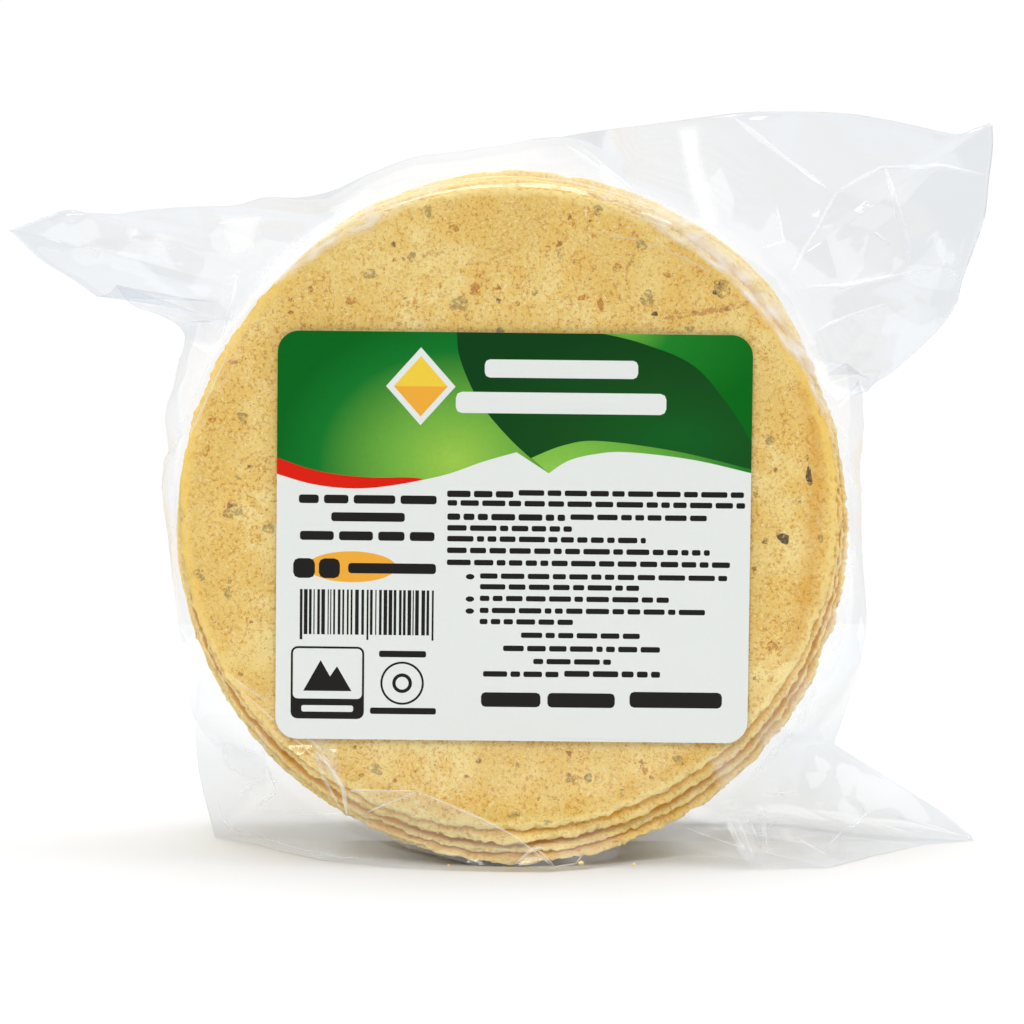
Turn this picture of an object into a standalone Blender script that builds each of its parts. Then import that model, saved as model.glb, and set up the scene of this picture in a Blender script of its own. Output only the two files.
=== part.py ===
"""Sealed clear bag of sixty corn tortillas, standing on the rim of the stack, with a paper label on its front panel.

Frame: metres, +Z up, X across the label, the labelled front faces -Y. The origin is the bottom centre of the bag.
The bag is one closed solid: its front and back sheets leave the rims of the stack and run out to one free outline,
where they meet in thin flaps. The label is a thin rounded plate just in front of the front sheet.
"""
import math

import bmesh
import bpy
from mathutils import Vector

MM = 0.001

# ---- the stack inside ------------------------------------------------------
TORTILLA_COUNT = 60
TORTILLA_PITCH = 1.15  # one tortilla and the air round it
STACK_DEPTH = TORTILLA_COUNT * TORTILLA_PITCH  # 69 mm
FILM_CLEARANCE = 0.7

FRONT_Y = -(STACK_DEPTH / 2 + FILM_CLEARANCE)  # front sheet
BACK_Y = STACK_DEPTH / 2 + FILM_CLEARANCE + 0.6  # back sheet, which sags a little more

# outline of the front tortilla, an oval a little above the floor
FRONT_CENTRE = (2.2, 84.0)
FRONT_SEMI = (76.2, 73.4)
# outline of all sixty together, which lie a few millimetres apart
RIM_CENTRE = (2.8, 79.2)
RIM_SEMI = (78.4, 79.0)
RIM_STEP_BACK = 1.0  # the rim stands this far behind the front sheet
FRONT_FOOT_STEP = 5.5  # more at the foot, where the first tortillas step down to the floor

# ---- the bag's free outline ------------------------------------------------
# corner: x, z, y of the place where front and back sheet meet, and the angle round the stack from which its film fans out
CORNERS = {
    "top_right_tip": (116.0, 171.8, 2.0, 44.0),
    "top_right_low": (89.2, 110.9, -5.0, 19.0),
    "top_right_neck": (84.3, 113.8, 0.0, 23.0),
    "right_waist": (84.4, 80.0, 0.0, 0.5),
    "right_belly": (86.0, 48.5, 1.0, -23.5),
    "bottom_right_neck": (79.7, 23.8, 1.0, -42.0),
    "bottom_right_tip": (113.6, 0.6, 2.0, -52.0),
    "foot_right": (66.0, 0.0, 0.0, -62.0),
    "foot_left": (-42.0, 0.0, 3.0, -122.0),
    "bottom_left_tip": (-68.6, 0.0, 8.0, -133.0),
    "left_hip": (-73.5, 40.0, 3.0, -152.0),
    "left_waist": (-78.4, 90.0, 0.0, -188.0),
    "top_left_neck": (-74.0, 123.4, 0.0, -213.0),
    "top_left_notch": (-90.3, 133.3, 1.0, -216.0),
    "top_left_low": (-94.9, 130.6, -3.0, -217.0),
    "top_left_tip": (-116.0, 146.0, 3.0, -222.0),
    "top_left_shoulder": (-52.0, 154.3, 2.0, -237.0),
    "crown": (2.0, 165.4, 0.0, -269.0),
    "top_right_shoulder": (72.0, 174.0, -1.0, -303.0),
    "top_right_dip": (107.0, 168.9, 1.0, -313.0),
}
# edge, from corner to corner clockwise: how far it bows out, and its number of segments
EDGES = [
    ("top_right_tip", "top_right_low", 8.6, 9),
    ("top_right_low", "top_right_neck", 0.0, 1),
    ("top_right_neck", "right_waist", 0.6, 6),
    ("right_waist", "right_belly", 0.4, 5),
    ("right_belly", "bottom_right_neck", 1.4, 5),
    ("bottom_right_neck", "bottom_right_tip", -0.3, 6),
    ("bottom_right_tip", "foot_right", 0.0, 5),
    ("foot_right", "foot_left", 0.0, 13),
    ("foot_left", "bottom_left_tip", 0.0, 4),
    ("bottom_left_tip", "left_hip", -0.8, 5),
    ("left_hip", "left_waist", 1.2, 8),
    ("left_waist", "top_left_neck", 1.6, 6),
    ("top_left_neck", "top_left_notch", -0.6, 3),
    ("top_left_notch", "top_left_low", 0.0, 1),
    ("top_left_low", "top_left_tip", 0.4, 4),
    ("top_left_tip", "top_left_shoulder", 1.6, 7),
    ("top_left_shoulder", "crown", -1.6, 7),
    ("crown", "top_right_shoulder", 2.2, 9),
    ("top_right_shoulder", "top_right_dip", 1.0, 4),
    ("top_right_dip", "top_right_tip", -0.6, 2),
]
SEAL_HALF = 0.7  # half the thickness of the flaps at the outline
SHEET_ROWS = 9  # rows of points from rim to outline on each sheet
TIGHT_SPAN = 7.0  # film shorter than this from rim to outline wraps the stack like a box
FLAP_SPAN = 26.0  # film longer than this runs out straight, as a flap
FLAP_POWER = 1.45  # how early the two sheets of a flap come together
FLOOR = 0.0

# folds pressed into both sheets of the flaps: from x, z to x, z, half width, depth towards the front
FOLDS = [
    ((36.0, 171.0), (66.0, 156.0), 5.0, 2.4),
    ((52.0, 172.0), (74.5, 154.0), 6.0, -2.6),
    ((78.0, 155.5), (114.0, 158.0), 6.0, 2.8),
    ((78.0, 155.0), (70.0, 142.0), 5.0, 2.2),
    ((91.0, 161.0), (97.0, 139.0), 5.0, 3.0),
    ((70.0, 135.0), (106.0, 139.0), 5.0, -3.0),
    ((74.0, 124.0), (92.0, 131.0), 5.0, 2.6),
    ((90.0, 118.0), (95.0, 130.0), 4.5, -2.2),
    ((-112.0, 146.0), (-92.0, 143.0), 5.0, 2.2),
    ((-96.0, 143.0), (-80.0, 131.0), 5.0, -2.4),
    ((-80.0, 142.0), (-62.0, 139.0), 5.0, 2.0),
    ((82.0, 18.0), (104.0, 5.0), 6.0, -1.8),
    ((66.0, 12.0), (72.0, 2.0), 7.0, 3.0),
]

# ---- the label --------------------------------------------------------------
LABEL_WIDTH = 109.4
LABEL_HEIGHT = 94.8
LABEL_CORNER_RADIUS = 5.0
LABEL_CORNER_STEPS = 6
LABEL_CENTRE = (3.05, 77.15)
LABEL_TURN = -0.62  # degrees, clockwise seen from the front
LABEL_THICKNESS = 0.3
LABEL_GAP = 0.3


def smooth(t):
    t = min(1.0, max(0.0, t))
    return t * t * (3 - 2 * t)


def oval(centre, semi, angle, scale=1.0):
    return (
        centre[0] + semi[0] * scale * math.cos(angle),
        centre[1] + semi[1] * scale * math.sin(angle),
    )


def foot_share(angle):
    """1 at the foot of the stack, 0 from the waist up."""
    return smooth((-math.sin(angle) - 0.35) / 0.6)


def outline():
    """Points (x, z, y, rim angle) clockwise round the bag, with every corner on it."""
    points = []
    for start, end, bow, count in EDGES:
        x0, z0, y0, a0 = CORNERS[start]
        x1, z1, y1, a1 = CORNERS[end]
        while a1 > a0:
            a1 -= 360.0
        length = math.hypot(x1 - x0, z1 - z0)
        out = (-(z1 - z0) / length, (x1 - x0) / length)
        for i in range(count):
            t = i / count
            lift = bow * 4 * t * (1 - t)
            points.append(
                (
                    x0 + (x1 - x0) * t + out[0] * lift,
                    max(FLOOR, z0 + (z1 - z0) * t + out[1] * lift),
                    y0 + (y1 - y0) * t,
                    math.radians(a0 + (a1 - a0) * t),
                )
            )
    return points


def fold_shift(x, z):
    """How far the folds carry both sheets back at this place."""
    shift = 0.0
    for (x0, z0), (x1, z1), half, depth in FOLDS:
        dx, dz = x1 - x0, z1 - z0
        t = ((x - x0) * dx + (z - z0) * dz) / (dx * dx + dz * dz)
        t = min(1.0, max(0.0, t))
        away = math.hypot(x - x0 - t * dx, z - z0 - t * dz)
        shift -= depth * max(0.0, 1.0 - away / half)
    return shift


def sheet_point(corner, row, side):
    """A point of the front (side -1) or back (side 1) sheet, row 0 at the rim and row SHEET_ROWS at the outline."""
    px, pz, py, angle = corner
    rx, rz = oval(RIM_CENTRE, RIM_SEMI, angle)
    rz = max(rz, FLOOR)
    v = row / SHEET_ROWS
    if side < 0:
        rim_y = FRONT_Y + RIM_STEP_BACK + FRONT_FOOT_STEP * foot_share(angle)
    else:
        rim_y = BACK_Y - RIM_STEP_BACK - 0.5 * FRONT_FOOT_STEP * foot_share(angle)
    edge_y = py + side * SEAL_HALF
    span = math.hypot(px - rx, pz - rz)
    flap = smooth((span - TIGHT_SPAN) / (FLAP_SPAN - TIGHT_SPAN))
    # wrapped like a box: out to the side at once, then straight back
    box_out = math.sin(min(1.0, v / 0.22) * math.pi / 2)
    box_back = smooth(v / 0.25) * 0.04 + 0.96 * v
    # run out as a flap
    flap_out = v
    flap_back = 1 - (1 - v) ** FLAP_POWER
    out = box_out + (flap_out - box_out) * flap
    back = box_back + (flap_back - box_back) * flap
    x = rx + (px - rx) * out
    z = rz + (pz - rz) * out
    y = rim_y + (edge_y - rim_y) * back
    y += fold_shift(x, z) * math.sin(math.pi * min(1.0, v * 1.02)) ** 0.5 * smooth(span / 14)
    return x, y, max(z, FLOOR)


def add_ring(bm, points):
    return [bm.verts.new(Vector(p) * MM) for p in points]


def bridge(bm, first, second, flip):
    """Triangles between two rings, cut along the same diagonals on both sheets so that these never cross."""
    count = len(first)
    for i in range(count):
        j = (i + 1) % count
        for tri in (
            (first[i], first[j], second[j]),
            (first[i], second[j], second[i]),
        ):
            bm.faces.new(tri[::-1] if flip else tri)


def build_bag():
    corners = outline()
    bm = bmesh.new()
    for side in (-1, 1):
        flip = side > 0
        face_y = FRONT_Y if side < 0 else BACK_Y
        centre_xz = FRONT_CENTRE if side < 0 else RIM_CENTRE
        semi = FRONT_SEMI if side < 0 else (RIM_SEMI[0] - 2.4, RIM_SEMI[1] - 2.4)
        centre = bm.verts.new(Vector((centre_xz[0], face_y, centre_xz[1])) * MM)
        rings = []
        for scale in (0.55, 1.0):
            ring = []
            for _, _, _, angle in corners:
                x, z = oval(centre_xz, semi, angle, scale)
                ring.append((x, face_y, max(z, FLOOR)))
            rings.append(add_ring(bm, ring))
        for row in range(SHEET_ROWS + 1):
            rings.append(
                add_ring(bm, [sheet_point(corner, row, side) for corner in corners])
            )
        for i in range(len(corners)):
            j = (i + 1) % len(corners)
            fan = (centre, rings[0][j], rings[0][i])
            bm.faces.new(fan[::-1] if not flip else fan)
        for inner, outer in zip(rings, rings[1:]):
            bridge(bm, inner, outer, flip)
        if side < 0:
            front_edge = rings[-1]
        else:
            bridge(bm, front_edge, rings[-1], False)
    bmesh.ops.recalc_face_normals(bm, faces=bm.faces)
    mesh = bpy.data.meshes.new("bag")
    bm.to_mesh(mesh)
    bm.free()
    mesh.shade_smooth()
    mesh.set_sharp_from_angle(angle=math.radians(35))
    return mesh


def build_label():
    """A rounded plate, outline in its own X-Z plane, swept back by its thickness."""
    half_w = LABEL_WIDTH / 2 - LABEL_CORNER_RADIUS
    half_h = LABEL_HEIGHT / 2 - LABEL_CORNER_RADIUS
    loop = []
    for k, (sx, sz) in enumerate(((1, 1), (-1, 1), (-1, -1), (1, -1))):
        for i in range(LABEL_CORNER_STEPS + 1):
            a = math.radians(90 * k + 90 * i / LABEL_CORNER_STEPS)
            loop.append(
                (
                    sx * half_w + LABEL_CORNER_RADIUS * math.cos(a),
                    sz * half_h + LABEL_CORNER_RADIUS * math.sin(a),
                )
            )
    bm = bmesh.new()
    face = bm.faces.new([bm.verts.new(Vector((x, 0, z)) * MM) for x, z in loop])
    swept = bmesh.ops.extrude_face_region(bm, geom=[face])
    moved = [g for g in swept["geom"] if isinstance(g, bmesh.types.BMVert)]
    bmesh.ops.translate(bm, verts=moved, vec=Vector((0, LABEL_THICKNESS, 0)) * MM)
    bmesh.ops.recalc_face_normals(bm, faces=bm.faces)
    mesh = bpy.data.meshes.new("label")
    bm.to_mesh(mesh)
    bm.free()
    return mesh


def material(name, colour, roughness, alpha=1.0, transmission=0.0):
    made = bpy.data.materials.new(name)
    made.use_nodes = True
    shader = made.node_tree.nodes["Principled BSDF"]
    shader.inputs["Base Color"].default_value = (*colour, 1.0)
    shader.inputs["Roughness"].default_value = roughness
    shader.inputs["Metallic"].default_value = 0.0
    shader.inputs["Alpha"].default_value = alpha
    shader.inputs["Transmission Weight"].default_value = transmission
    return made


def add_object(name, mesh, made, parent):
    obj = bpy.data.objects.new(name, mesh)
    obj.data.materials.append(made)
    obj.parent = parent
    bpy.context.scene.collection.objects.link(obj)
    return obj


def main():
    for obj in list(bpy.data.objects):
        bpy.data.objects.remove(obj)
    root = bpy.data.objects.new("tortilla_pack", None)
    bpy.context.scene.collection.objects.link(root)

    bag = add_object(
        "bag",
        build_bag(),
        material("film_over_tortillas", (0.75, 0.58, 0.27), 0.2),
        root,
    )
    bag.location = (0.0, 0.0, 0.0)

    label = add_object(
        "label", build_label(), material("label_paper", (0.80, 0.82, 0.80), 0.55), root
    )
    label.location = (
        LABEL_CENTRE[0] * MM,
        (FRONT_Y - LABEL_GAP - LABEL_THICKNESS) * MM,
        LABEL_CENTRE[1] * MM,
    )
    label.rotation_euler = (0.0, -math.radians(LABEL_TURN), 0.0)


main()
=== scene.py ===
import math

import bmesh
import bpy
import numpy as np
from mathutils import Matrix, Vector
from mathutils.bvhtree import BVHTree
from mathutils.geometry import delaunay_2d_cdt


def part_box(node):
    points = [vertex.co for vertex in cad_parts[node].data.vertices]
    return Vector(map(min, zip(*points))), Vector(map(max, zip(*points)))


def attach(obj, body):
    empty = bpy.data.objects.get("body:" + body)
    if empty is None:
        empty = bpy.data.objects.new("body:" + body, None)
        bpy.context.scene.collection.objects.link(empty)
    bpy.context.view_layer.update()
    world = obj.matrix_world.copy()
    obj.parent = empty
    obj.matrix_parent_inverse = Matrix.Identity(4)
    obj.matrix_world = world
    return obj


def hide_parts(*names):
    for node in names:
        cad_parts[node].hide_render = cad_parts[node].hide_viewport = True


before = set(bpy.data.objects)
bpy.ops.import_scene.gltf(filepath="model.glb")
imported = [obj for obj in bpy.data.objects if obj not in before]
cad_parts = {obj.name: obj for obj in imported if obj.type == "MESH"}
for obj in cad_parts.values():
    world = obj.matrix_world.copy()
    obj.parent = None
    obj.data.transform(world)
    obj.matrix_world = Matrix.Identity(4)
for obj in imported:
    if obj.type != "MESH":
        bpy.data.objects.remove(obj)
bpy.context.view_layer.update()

MM = 0.001
rng = np.random.default_rng(60)

bag_low, bag_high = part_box("bag")
label_low, label_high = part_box("label")
FRONT_Y = bag_low.y / MM  # the bag's front sheet, about -35.2 mm
BACK_Y = bag_high.y / MM
LABEL_FRONT_Y = label_low.y / MM

# ---------------------------------------------------------------- camera ----
ELEVATION = math.radians(6.0)
DISTANCE = 1300.0
TARGET = (2.73, -35.0, 83.0)
camera_data = bpy.data.cameras.new("camera")
camera_data.sensor_width = 36.0
camera_data.lens = 197.9
camera_data.clip_start = 0.05
camera_data.clip_end = 20.0
camera = bpy.data.objects.new("camera", camera_data)
camera.location = (
    TARGET[0] * MM,
    (TARGET[1] - DISTANCE * math.cos(ELEVATION)) * MM,
    (TARGET[2] + DISTANCE * math.sin(ELEVATION)) * MM,
)
camera.rotation_euler = (math.radians(90.0) - ELEVATION, 0.0, 0.0)
bpy.context.scene.collection.objects.link(camera)
bpy.context.scene.camera = camera
bpy.context.scene.view_settings.view_transform = "Standard"
bpy.context.scene.view_settings.look = "None"


# --------------------------------------------------------------- helpers ----
def smooth(t):
    t = np.clip(t, 0.0, 1.0)
    return t * t * (3 - 2 * t)


def mesh_object(name, verts_mm, faces, material, smooth_shade=True):
    mesh = bpy.data.meshes.new(name)
    mesh.from_pydata((np.asarray(verts_mm) * MM).tolist(), [], [tuple(f) for f in faces])
    mesh.update()
    if smooth_shade:
        mesh.shade_smooth()
    obj = bpy.data.objects.new(name, mesh)
    bpy.context.scene.collection.objects.link(obj)
    for m in material if isinstance(material, (list, tuple)) else [material]:
        obj.data.materials.append(m)
    return obj


class Nodes:
    """A little shorthand for building a node tree."""

    def __init__(self, tree):
        self.tree = tree
        self.tree.nodes.clear()

    def add(self, kind, **settings):
        node = self.tree.nodes.new(kind)
        inputs = settings.pop("inputs", {})
        for key, value in settings.items():
            setattr(node, key, value)
        for key, value in inputs.items():
            if isinstance(value, bpy.types.NodeSocket):
                self.tree.links.new(value, node.inputs[key])
            else:
                node.inputs[key].default_value = value
        return node

    def math(self, operation, a, b=None, clamp=False):
        node = self.add("ShaderNodeMath", operation=operation, use_clamp=clamp)
        for i, value in enumerate((a, b)):
            if value is None:
                continue
            if isinstance(value, bpy.types.NodeSocket):
                self.tree.links.new(value, node.inputs[i])
            else:
                node.inputs[i].default_value = value
        return node.outputs[0]

    def ramp(self, value, stops, interpolation="LINEAR"):
        node = self.add("ShaderNodeValToRGB")
        node.color_ramp.interpolation = interpolation
        while len(node.color_ramp.elements) < len(stops):
            node.color_ramp.elements.new(0.5)
        for element, (place, colour) in zip(node.color_ramp.elements, stops):
            element.position = place
            element.color = (*colour, 1.0) if len(colour) == 3 else colour
        self.tree.links.new(value, node.inputs[0])
        return node.outputs[0]

    def mix(self, factor, a, b, blend="MIX"):
        node = self.add("ShaderNodeMix", data_type="RGBA", blend_type=blend)
        for index, value in ((0, factor), (6, a), (7, b)):
            if isinstance(value, bpy.types.NodeSocket):
                self.tree.links.new(value, node.inputs[index])
            elif index == 0:
                node.inputs[index].default_value = value
            else:
                node.inputs[index].default_value = (*value, 1.0)
        return node.outputs[2]

    def noise(self, vector, scale, detail=3.0, rough=0.55, out=0, distortion=0.0):
        node = self.add(
            "ShaderNodeTexNoise",
            inputs={
                "Vector": vector,
                "Scale": scale,
                "Detail": detail,
                "Roughness": rough,
                "Distortion": distortion,
            },
        )
        return node.outputs[out]


def new_material(name):
    made = bpy.data.materials.new(name)
    made.use_nodes = True
    return made, Nodes(made.node_tree)


def srgb(r, g, b):
    """Linear colour of an sRGB value given 0 to 255."""
    out = []
    for c in (r, g, b):
        c /= 255.0
        out.append(c / 12.92 if c <= 0.04045 else ((c + 0.055) / 1.055) ** 2.4)
    return tuple(out)


def finish(nodes, shader):
    out = nodes.add("ShaderNodeOutputMaterial")
    nodes.tree.links.new(shader, out.inputs["Surface"])


# ------------------------------------------------------------- materials ----
def tortilla_material():
    made, n = new_material("corn_tortilla")
    where = n.add("ShaderNodeTexCoord").outputs["Object"]
    mm = n.add("ShaderNodeVectorMath", operation="SCALE", inputs={0: where, "Scale": 1000.0}).outputs[0]
    # each tortilla takes its own slice of the pattern
    slices = n.add("ShaderNodeMapping", inputs={"Vector": mm, "Scale": (1.0, 2.5, 1.0)}).outputs[0]
    other = n.add("ShaderNodeMapping", inputs={"Vector": mm, "Location": (31.0, 7.0, -18.0)}).outputs[0]
    broad = n.noise(slices, 0.05, 2.0, 0.55)
    patch = n.noise(slices, 0.17, 4.0, 0.6)
    meal = n.noise(slices, 1.0, 5.0, 0.72)
    spots = n.noise(other, 0.42, 5.0, 0.72)
    fine = n.noise(slices, 2.5, 3.0, 0.6)
    grit = n.noise(other, 1.35, 4.0, 0.7)
    base = n.ramp(
        broad,
        [(0.36, srgb(240, 206, 116)), (0.5, srgb(247, 217, 132)), (0.64, srgb(252, 229, 152))],
    )
    base = n.mix(
        n.math("MULTIPLY", n.ramp(patch, [(0.44, (0, 0, 0)), (0.62, (1, 1, 1))]), 0.75), base, srgb(240, 198, 98)
    )
    # coarse meal: golden brown flecks, most of them under a millimetre
    thick = n.ramp(patch, [(0.32, (0.35, 0.35, 0.35)), (0.58, (1, 1, 1))])
    flecks = n.math("MULTIPLY", n.ramp(meal, [(0.535, (0, 0, 0)), (0.59, (1, 1, 1))]), thick)
    base = n.mix(n.math("MULTIPLY", flecks, 0.8), base, srgb(208, 140, 44))
    larger = n.math(
        "MULTIPLY",
        n.ramp(spots, [(0.60, (0, 0, 0)), (0.645, (1, 1, 1))]),
        n.ramp(fine, [(0.40, (0.15, 0.15, 0.15)), (0.52, (1, 1, 1))]),
    )
    base = n.mix(n.math("MULTIPLY", larger, 0.7), base, srgb(202, 126, 42))
    base = n.mix(
        n.math("MULTIPLY", n.ramp(fine, [(0.585, (0, 0, 0)), (0.65, (1, 1, 1))]), 0.6),
        base,
        srgb(190, 124, 48),
    )
    base = n.mix(
        n.math("MULTIPLY", n.ramp(grit, [(0.57, (0, 0, 0)), (0.63, (1, 1, 1))]), 0.6),
        base,
        srgb(252, 238, 198),
    )
    # hull specks: dark grey-green, up to two millimetres, in a few cells only
    shake = n.add("ShaderNodeTexNoise", inputs={"Vector": mm, "Scale": 0.9, "Detail": 3.0}).outputs["Color"]
    shaken = n.add("ShaderNodeVectorMath", operation="SCALE", inputs={0: shake, "Scale": 1.6}).outputs[0]
    ragged_mm = n.add("ShaderNodeVectorMath", operation="ADD", inputs={0: mm, 1: shaken}).outputs[0]
    for size, share, radius, colour in (
        (0.10, 0.20, 0.11, (150, 134, 88)),
        (0.21, 0.12, 0.12, (128, 96, 52)),
        (0.42, 0.10, 0.22, (170, 108, 44)),
    ):
        cell = n.add(
            "ShaderNodeTexVoronoi",
            inputs={"Vector": ragged_mm, "Scale": size, "Randomness": 1.0},
        )
        pick = n.add("ShaderNodeSeparateColor", inputs={0: cell.outputs["Color"]})
        chosen = n.math("LESS_THAN", pick.outputs[0], share)
        reach = n.math("MULTIPLY", n.math("ADD", pick.outputs[1], 0.25), radius)
        spot = n.math("MULTIPLY", n.math("LESS_THAN", cell.outputs["Distance"], reach), chosen)
        mottled = n.math("MULTIPLY", spot, n.ramp(meal, [(0.42, (0.25, 0.25, 0.25)), (0.54, (0.9, 0.9, 0.9))]))
        base = n.mix(mottled, base, srgb(*colour))
    # toasted along an old fold; beside the gaps where one tortilla lies behind the next, toasted colour with painted
    # shade of the gap
    toast_and_gap_shade = n.add("ShaderNodeAttribute", attribute_name="toast_and_gap_shade").outputs["Fac"]
    base = n.mix(
        n.math("MULTIPLY", toast_and_gap_shade, n.ramp(patch, [(0.3, (0.7, 0.7, 0.7)), (0.6, (1, 1, 1))])), base, srgb(222, 156, 40)
    )
    # the torn rim is bare dough, paler
    rim = n.add("ShaderNodeAttribute", attribute_name="rim").outputs["Fac"]
    rim_mask = n.math("MULTIPLY", rim, n.ramp(meal, [(0.40, (1, 1, 1)), (0.62, (0.45, 0.45, 0.45))]))
    base = n.mix(rim_mask, base, srgb(253, 231, 160))
    # painted glow: the colour is lighter and warmer round the thin lip of the front tortilla, standing for light that
    # comes through it
    glow = n.add("ShaderNodeAttribute", attribute_name="glow").outputs["Fac"]
    base = n.mix(glow, base, srgb(255, 212, 96))
    bump = n.add(
        "ShaderNodeBump",
        inputs={"Strength": 0.6, "Distance": 0.0005, "Height": n.math("ADD", meal, n.math("MULTIPLY", fine, 0.6))},
    )
    shader = n.add(
        "ShaderNodeBsdfPrincipled",
        inputs={"Base Color": base, "Normal": bump.outputs[0], "Roughness": 0.72},
    )
    shader.inputs["Specular IOR Level"].default_value = 0.2
    shader.inputs["Subsurface Weight"].default_value = 0.06
    shader.inputs["Subsurface Radius"].default_value = (0.002, 0.0012, 0.0004)
    shader.inputs["Subsurface Scale"].default_value = 0.4
    finish(n, shader.outputs[0])
    return made


def hull_material(name, dark, light, holes, faint=0.45):
    """A scrap of maize hull pressed into the dough: mottled, with gaps where dough shows."""
    made, n = new_material(name)
    where = n.add("ShaderNodeTexCoord").outputs["Object"]
    spots = n.noise(where, 1300.0, 4.0, 0.7)
    broad = n.noise(where, 500.0, 2.0, 0.6)
    base = n.ramp(spots, [(0.40, srgb(*dark)), (0.62, srgb(*light))])
    shader = n.add("ShaderNodeBsdfPrincipled", inputs={"Base Color": base, "Roughness": 0.7})
    shader.inputs["Specular IOR Level"].default_value = 0.2
    gap = n.ramp(n.math("ADD", n.math("MULTIPLY", spots, 0.6), n.math("MULTIPLY", broad, 0.4)), [(holes - 0.06, (faint, faint, faint)), (holes + 0.05, (1, 1, 1))])
    clear = n.add("ShaderNodeBsdfTransparent")
    mixed = n.add("ShaderNodeMixShader", inputs={0: gap, 1: shader.outputs[0], 2: clear.outputs[0]})
    finish(n, mixed.outputs[0])
    return made


def film_material(name, haze, base_reflect, roughness, tint=0.915):
    """Clear film: what is behind shows through, with a mirror-like sheen that grows at a glancing angle."""
    made, n = new_material(name)
    facing = n.add("ShaderNodeLayerWeight", inputs={"Blend": 0.5}).outputs["Facing"]
    glance = n.math("POWER", facing, 5.0)
    # painted shade on the reflection: round the foot, in front of the stack, the mirror-like sheen is cut down by place
    sheen_cut = n.add("ShaderNodeAttribute", attribute_name="sheen_cut").outputs["Fac"]
    lively = n.math("SUBTRACT", 1.0, n.math("MULTIPLY", sheen_cut, 0.9))
    reflect = n.math("ADD", n.math("MULTIPLY", glance, 0.45), base_reflect, clamp=True)
    reflect = n.math("MULTIPLY", reflect, lively)
    where = n.add("ShaderNodeTexCoord").outputs["Object"]
    ripple = n.noise(where, 90.0, 3.0, 0.5)
    bump = n.add(
        "ShaderNodeBump", inputs={"Strength": 0.15, "Distance": 0.001, "Height": ripple}
    )
    # "thin": one stretched layer, almost without a tint; the loose corners are slightly grey
    thin = n.add("ShaderNodeAttribute", attribute_name="thin").outputs["Fac"]
    through = n.mix(thin, (tint - 0.004, tint + 0.008, tint + 0.022), (0.985, 0.987, 0.990))
    # painted shadow: under the front of the stack the film is tinted warm grey, standing for the stack's contact shadow
    shade = n.add("ShaderNodeAttribute", attribute_name="shade").outputs["Fac"]
    through = n.mix(shade, through, (0.80, 0.75, 0.66))
    clear = n.add("ShaderNodeBsdfTransparent", inputs={"Color": through})
    gloss = n.add(
        "ShaderNodeBsdfGlossy",
        inputs={"Color": (1, 1, 1, 1), "Roughness": roughness, "Normal": bump.outputs[0]},
    )
    film = n.add("ShaderNodeMixShader", inputs={0: reflect, 1: clear.outputs[0], 2: gloss.outputs[0]})
    # painted sheen: a white diffuse layer mixed in where the film is drawn over the rim, standing for the glints of
    # many fine wrinkles; the material's own haze adds to it
    painted_sheen = n.add("ShaderNodeAttribute", attribute_name="painted_sheen").outputs["Fac"]
    cloud = n.math("ADD", painted_sheen, haze, clamp=True)
    milk = n.add("ShaderNodeBsdfDiffuse", inputs={"Color": (0.89, 0.89, 0.885, 1)})
    film = n.add("ShaderNodeMixShader", inputs={0: cloud, 1: film.outputs[0], 2: milk.outputs[0]})
    finish(n, film.outputs[0])
    return made


TORTILLA = tortilla_material()
HULL = hull_material("hull_grey", (136, 126, 84), (188, 168, 110), 0.53, 0.6)
HULL_DARK = hull_material("hull_dark", (84, 66, 42), (128, 110, 74), 0.55, 0.2)
HULL_BROWN = hull_material("hull_brown", (198, 122, 44), (218, 150, 62), 0.52, 0.5)
DOUGH = hull_material("dough_line", (252, 236, 190), (250, 230, 176), 0.60)
# painted shade of a shallow dent: a soft, darker orange stripe on the front tortilla
DENT_SHADE = hull_material("dough_dent_shade", (214, 156, 84), (226, 176, 104), 0.52, 0.5)
FILM = film_material("clear_film", 0.0, 0.05, 0.08)
CREASE = film_material("film_crease", 0.17, 0.10, 0.35, 0.99)
BRIGHT = film_material("film_fold", 0.26, 0.10, 0.30, 0.99)
TUCK = film_material("film_tuck", 0.085, 0.045, 0.12, 0.975)


# -------------------------------------------------------------- tortillas ----
FRONT_OVAL = (1.9, 83.0, 76.2, 74.3)
STACK_OVAL = (2.8, 78.6, 76.8, 77.4)
COUNT = 60
FIRST_Y = FRONT_Y + 0.75
PITCH = (BACK_Y - 0.9 - FIRST_Y) / COUNT


def swell(a):
    """How much farther out the stack reaches on this bearing: its rear part has slipped up and to the right."""
    out = np.zeros_like(a)
    for bearing, width, high in ((46.0, 20.0, 3.4), (90.0, 20.0, 1.5), (118.0, 11.0, 1.4)):
        gap = np.degrees(np.angle(np.exp(1j * (a - math.radians(bearing)))))
        out += high * np.exp(-((gap / width) ** 2))
    return out


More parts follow.
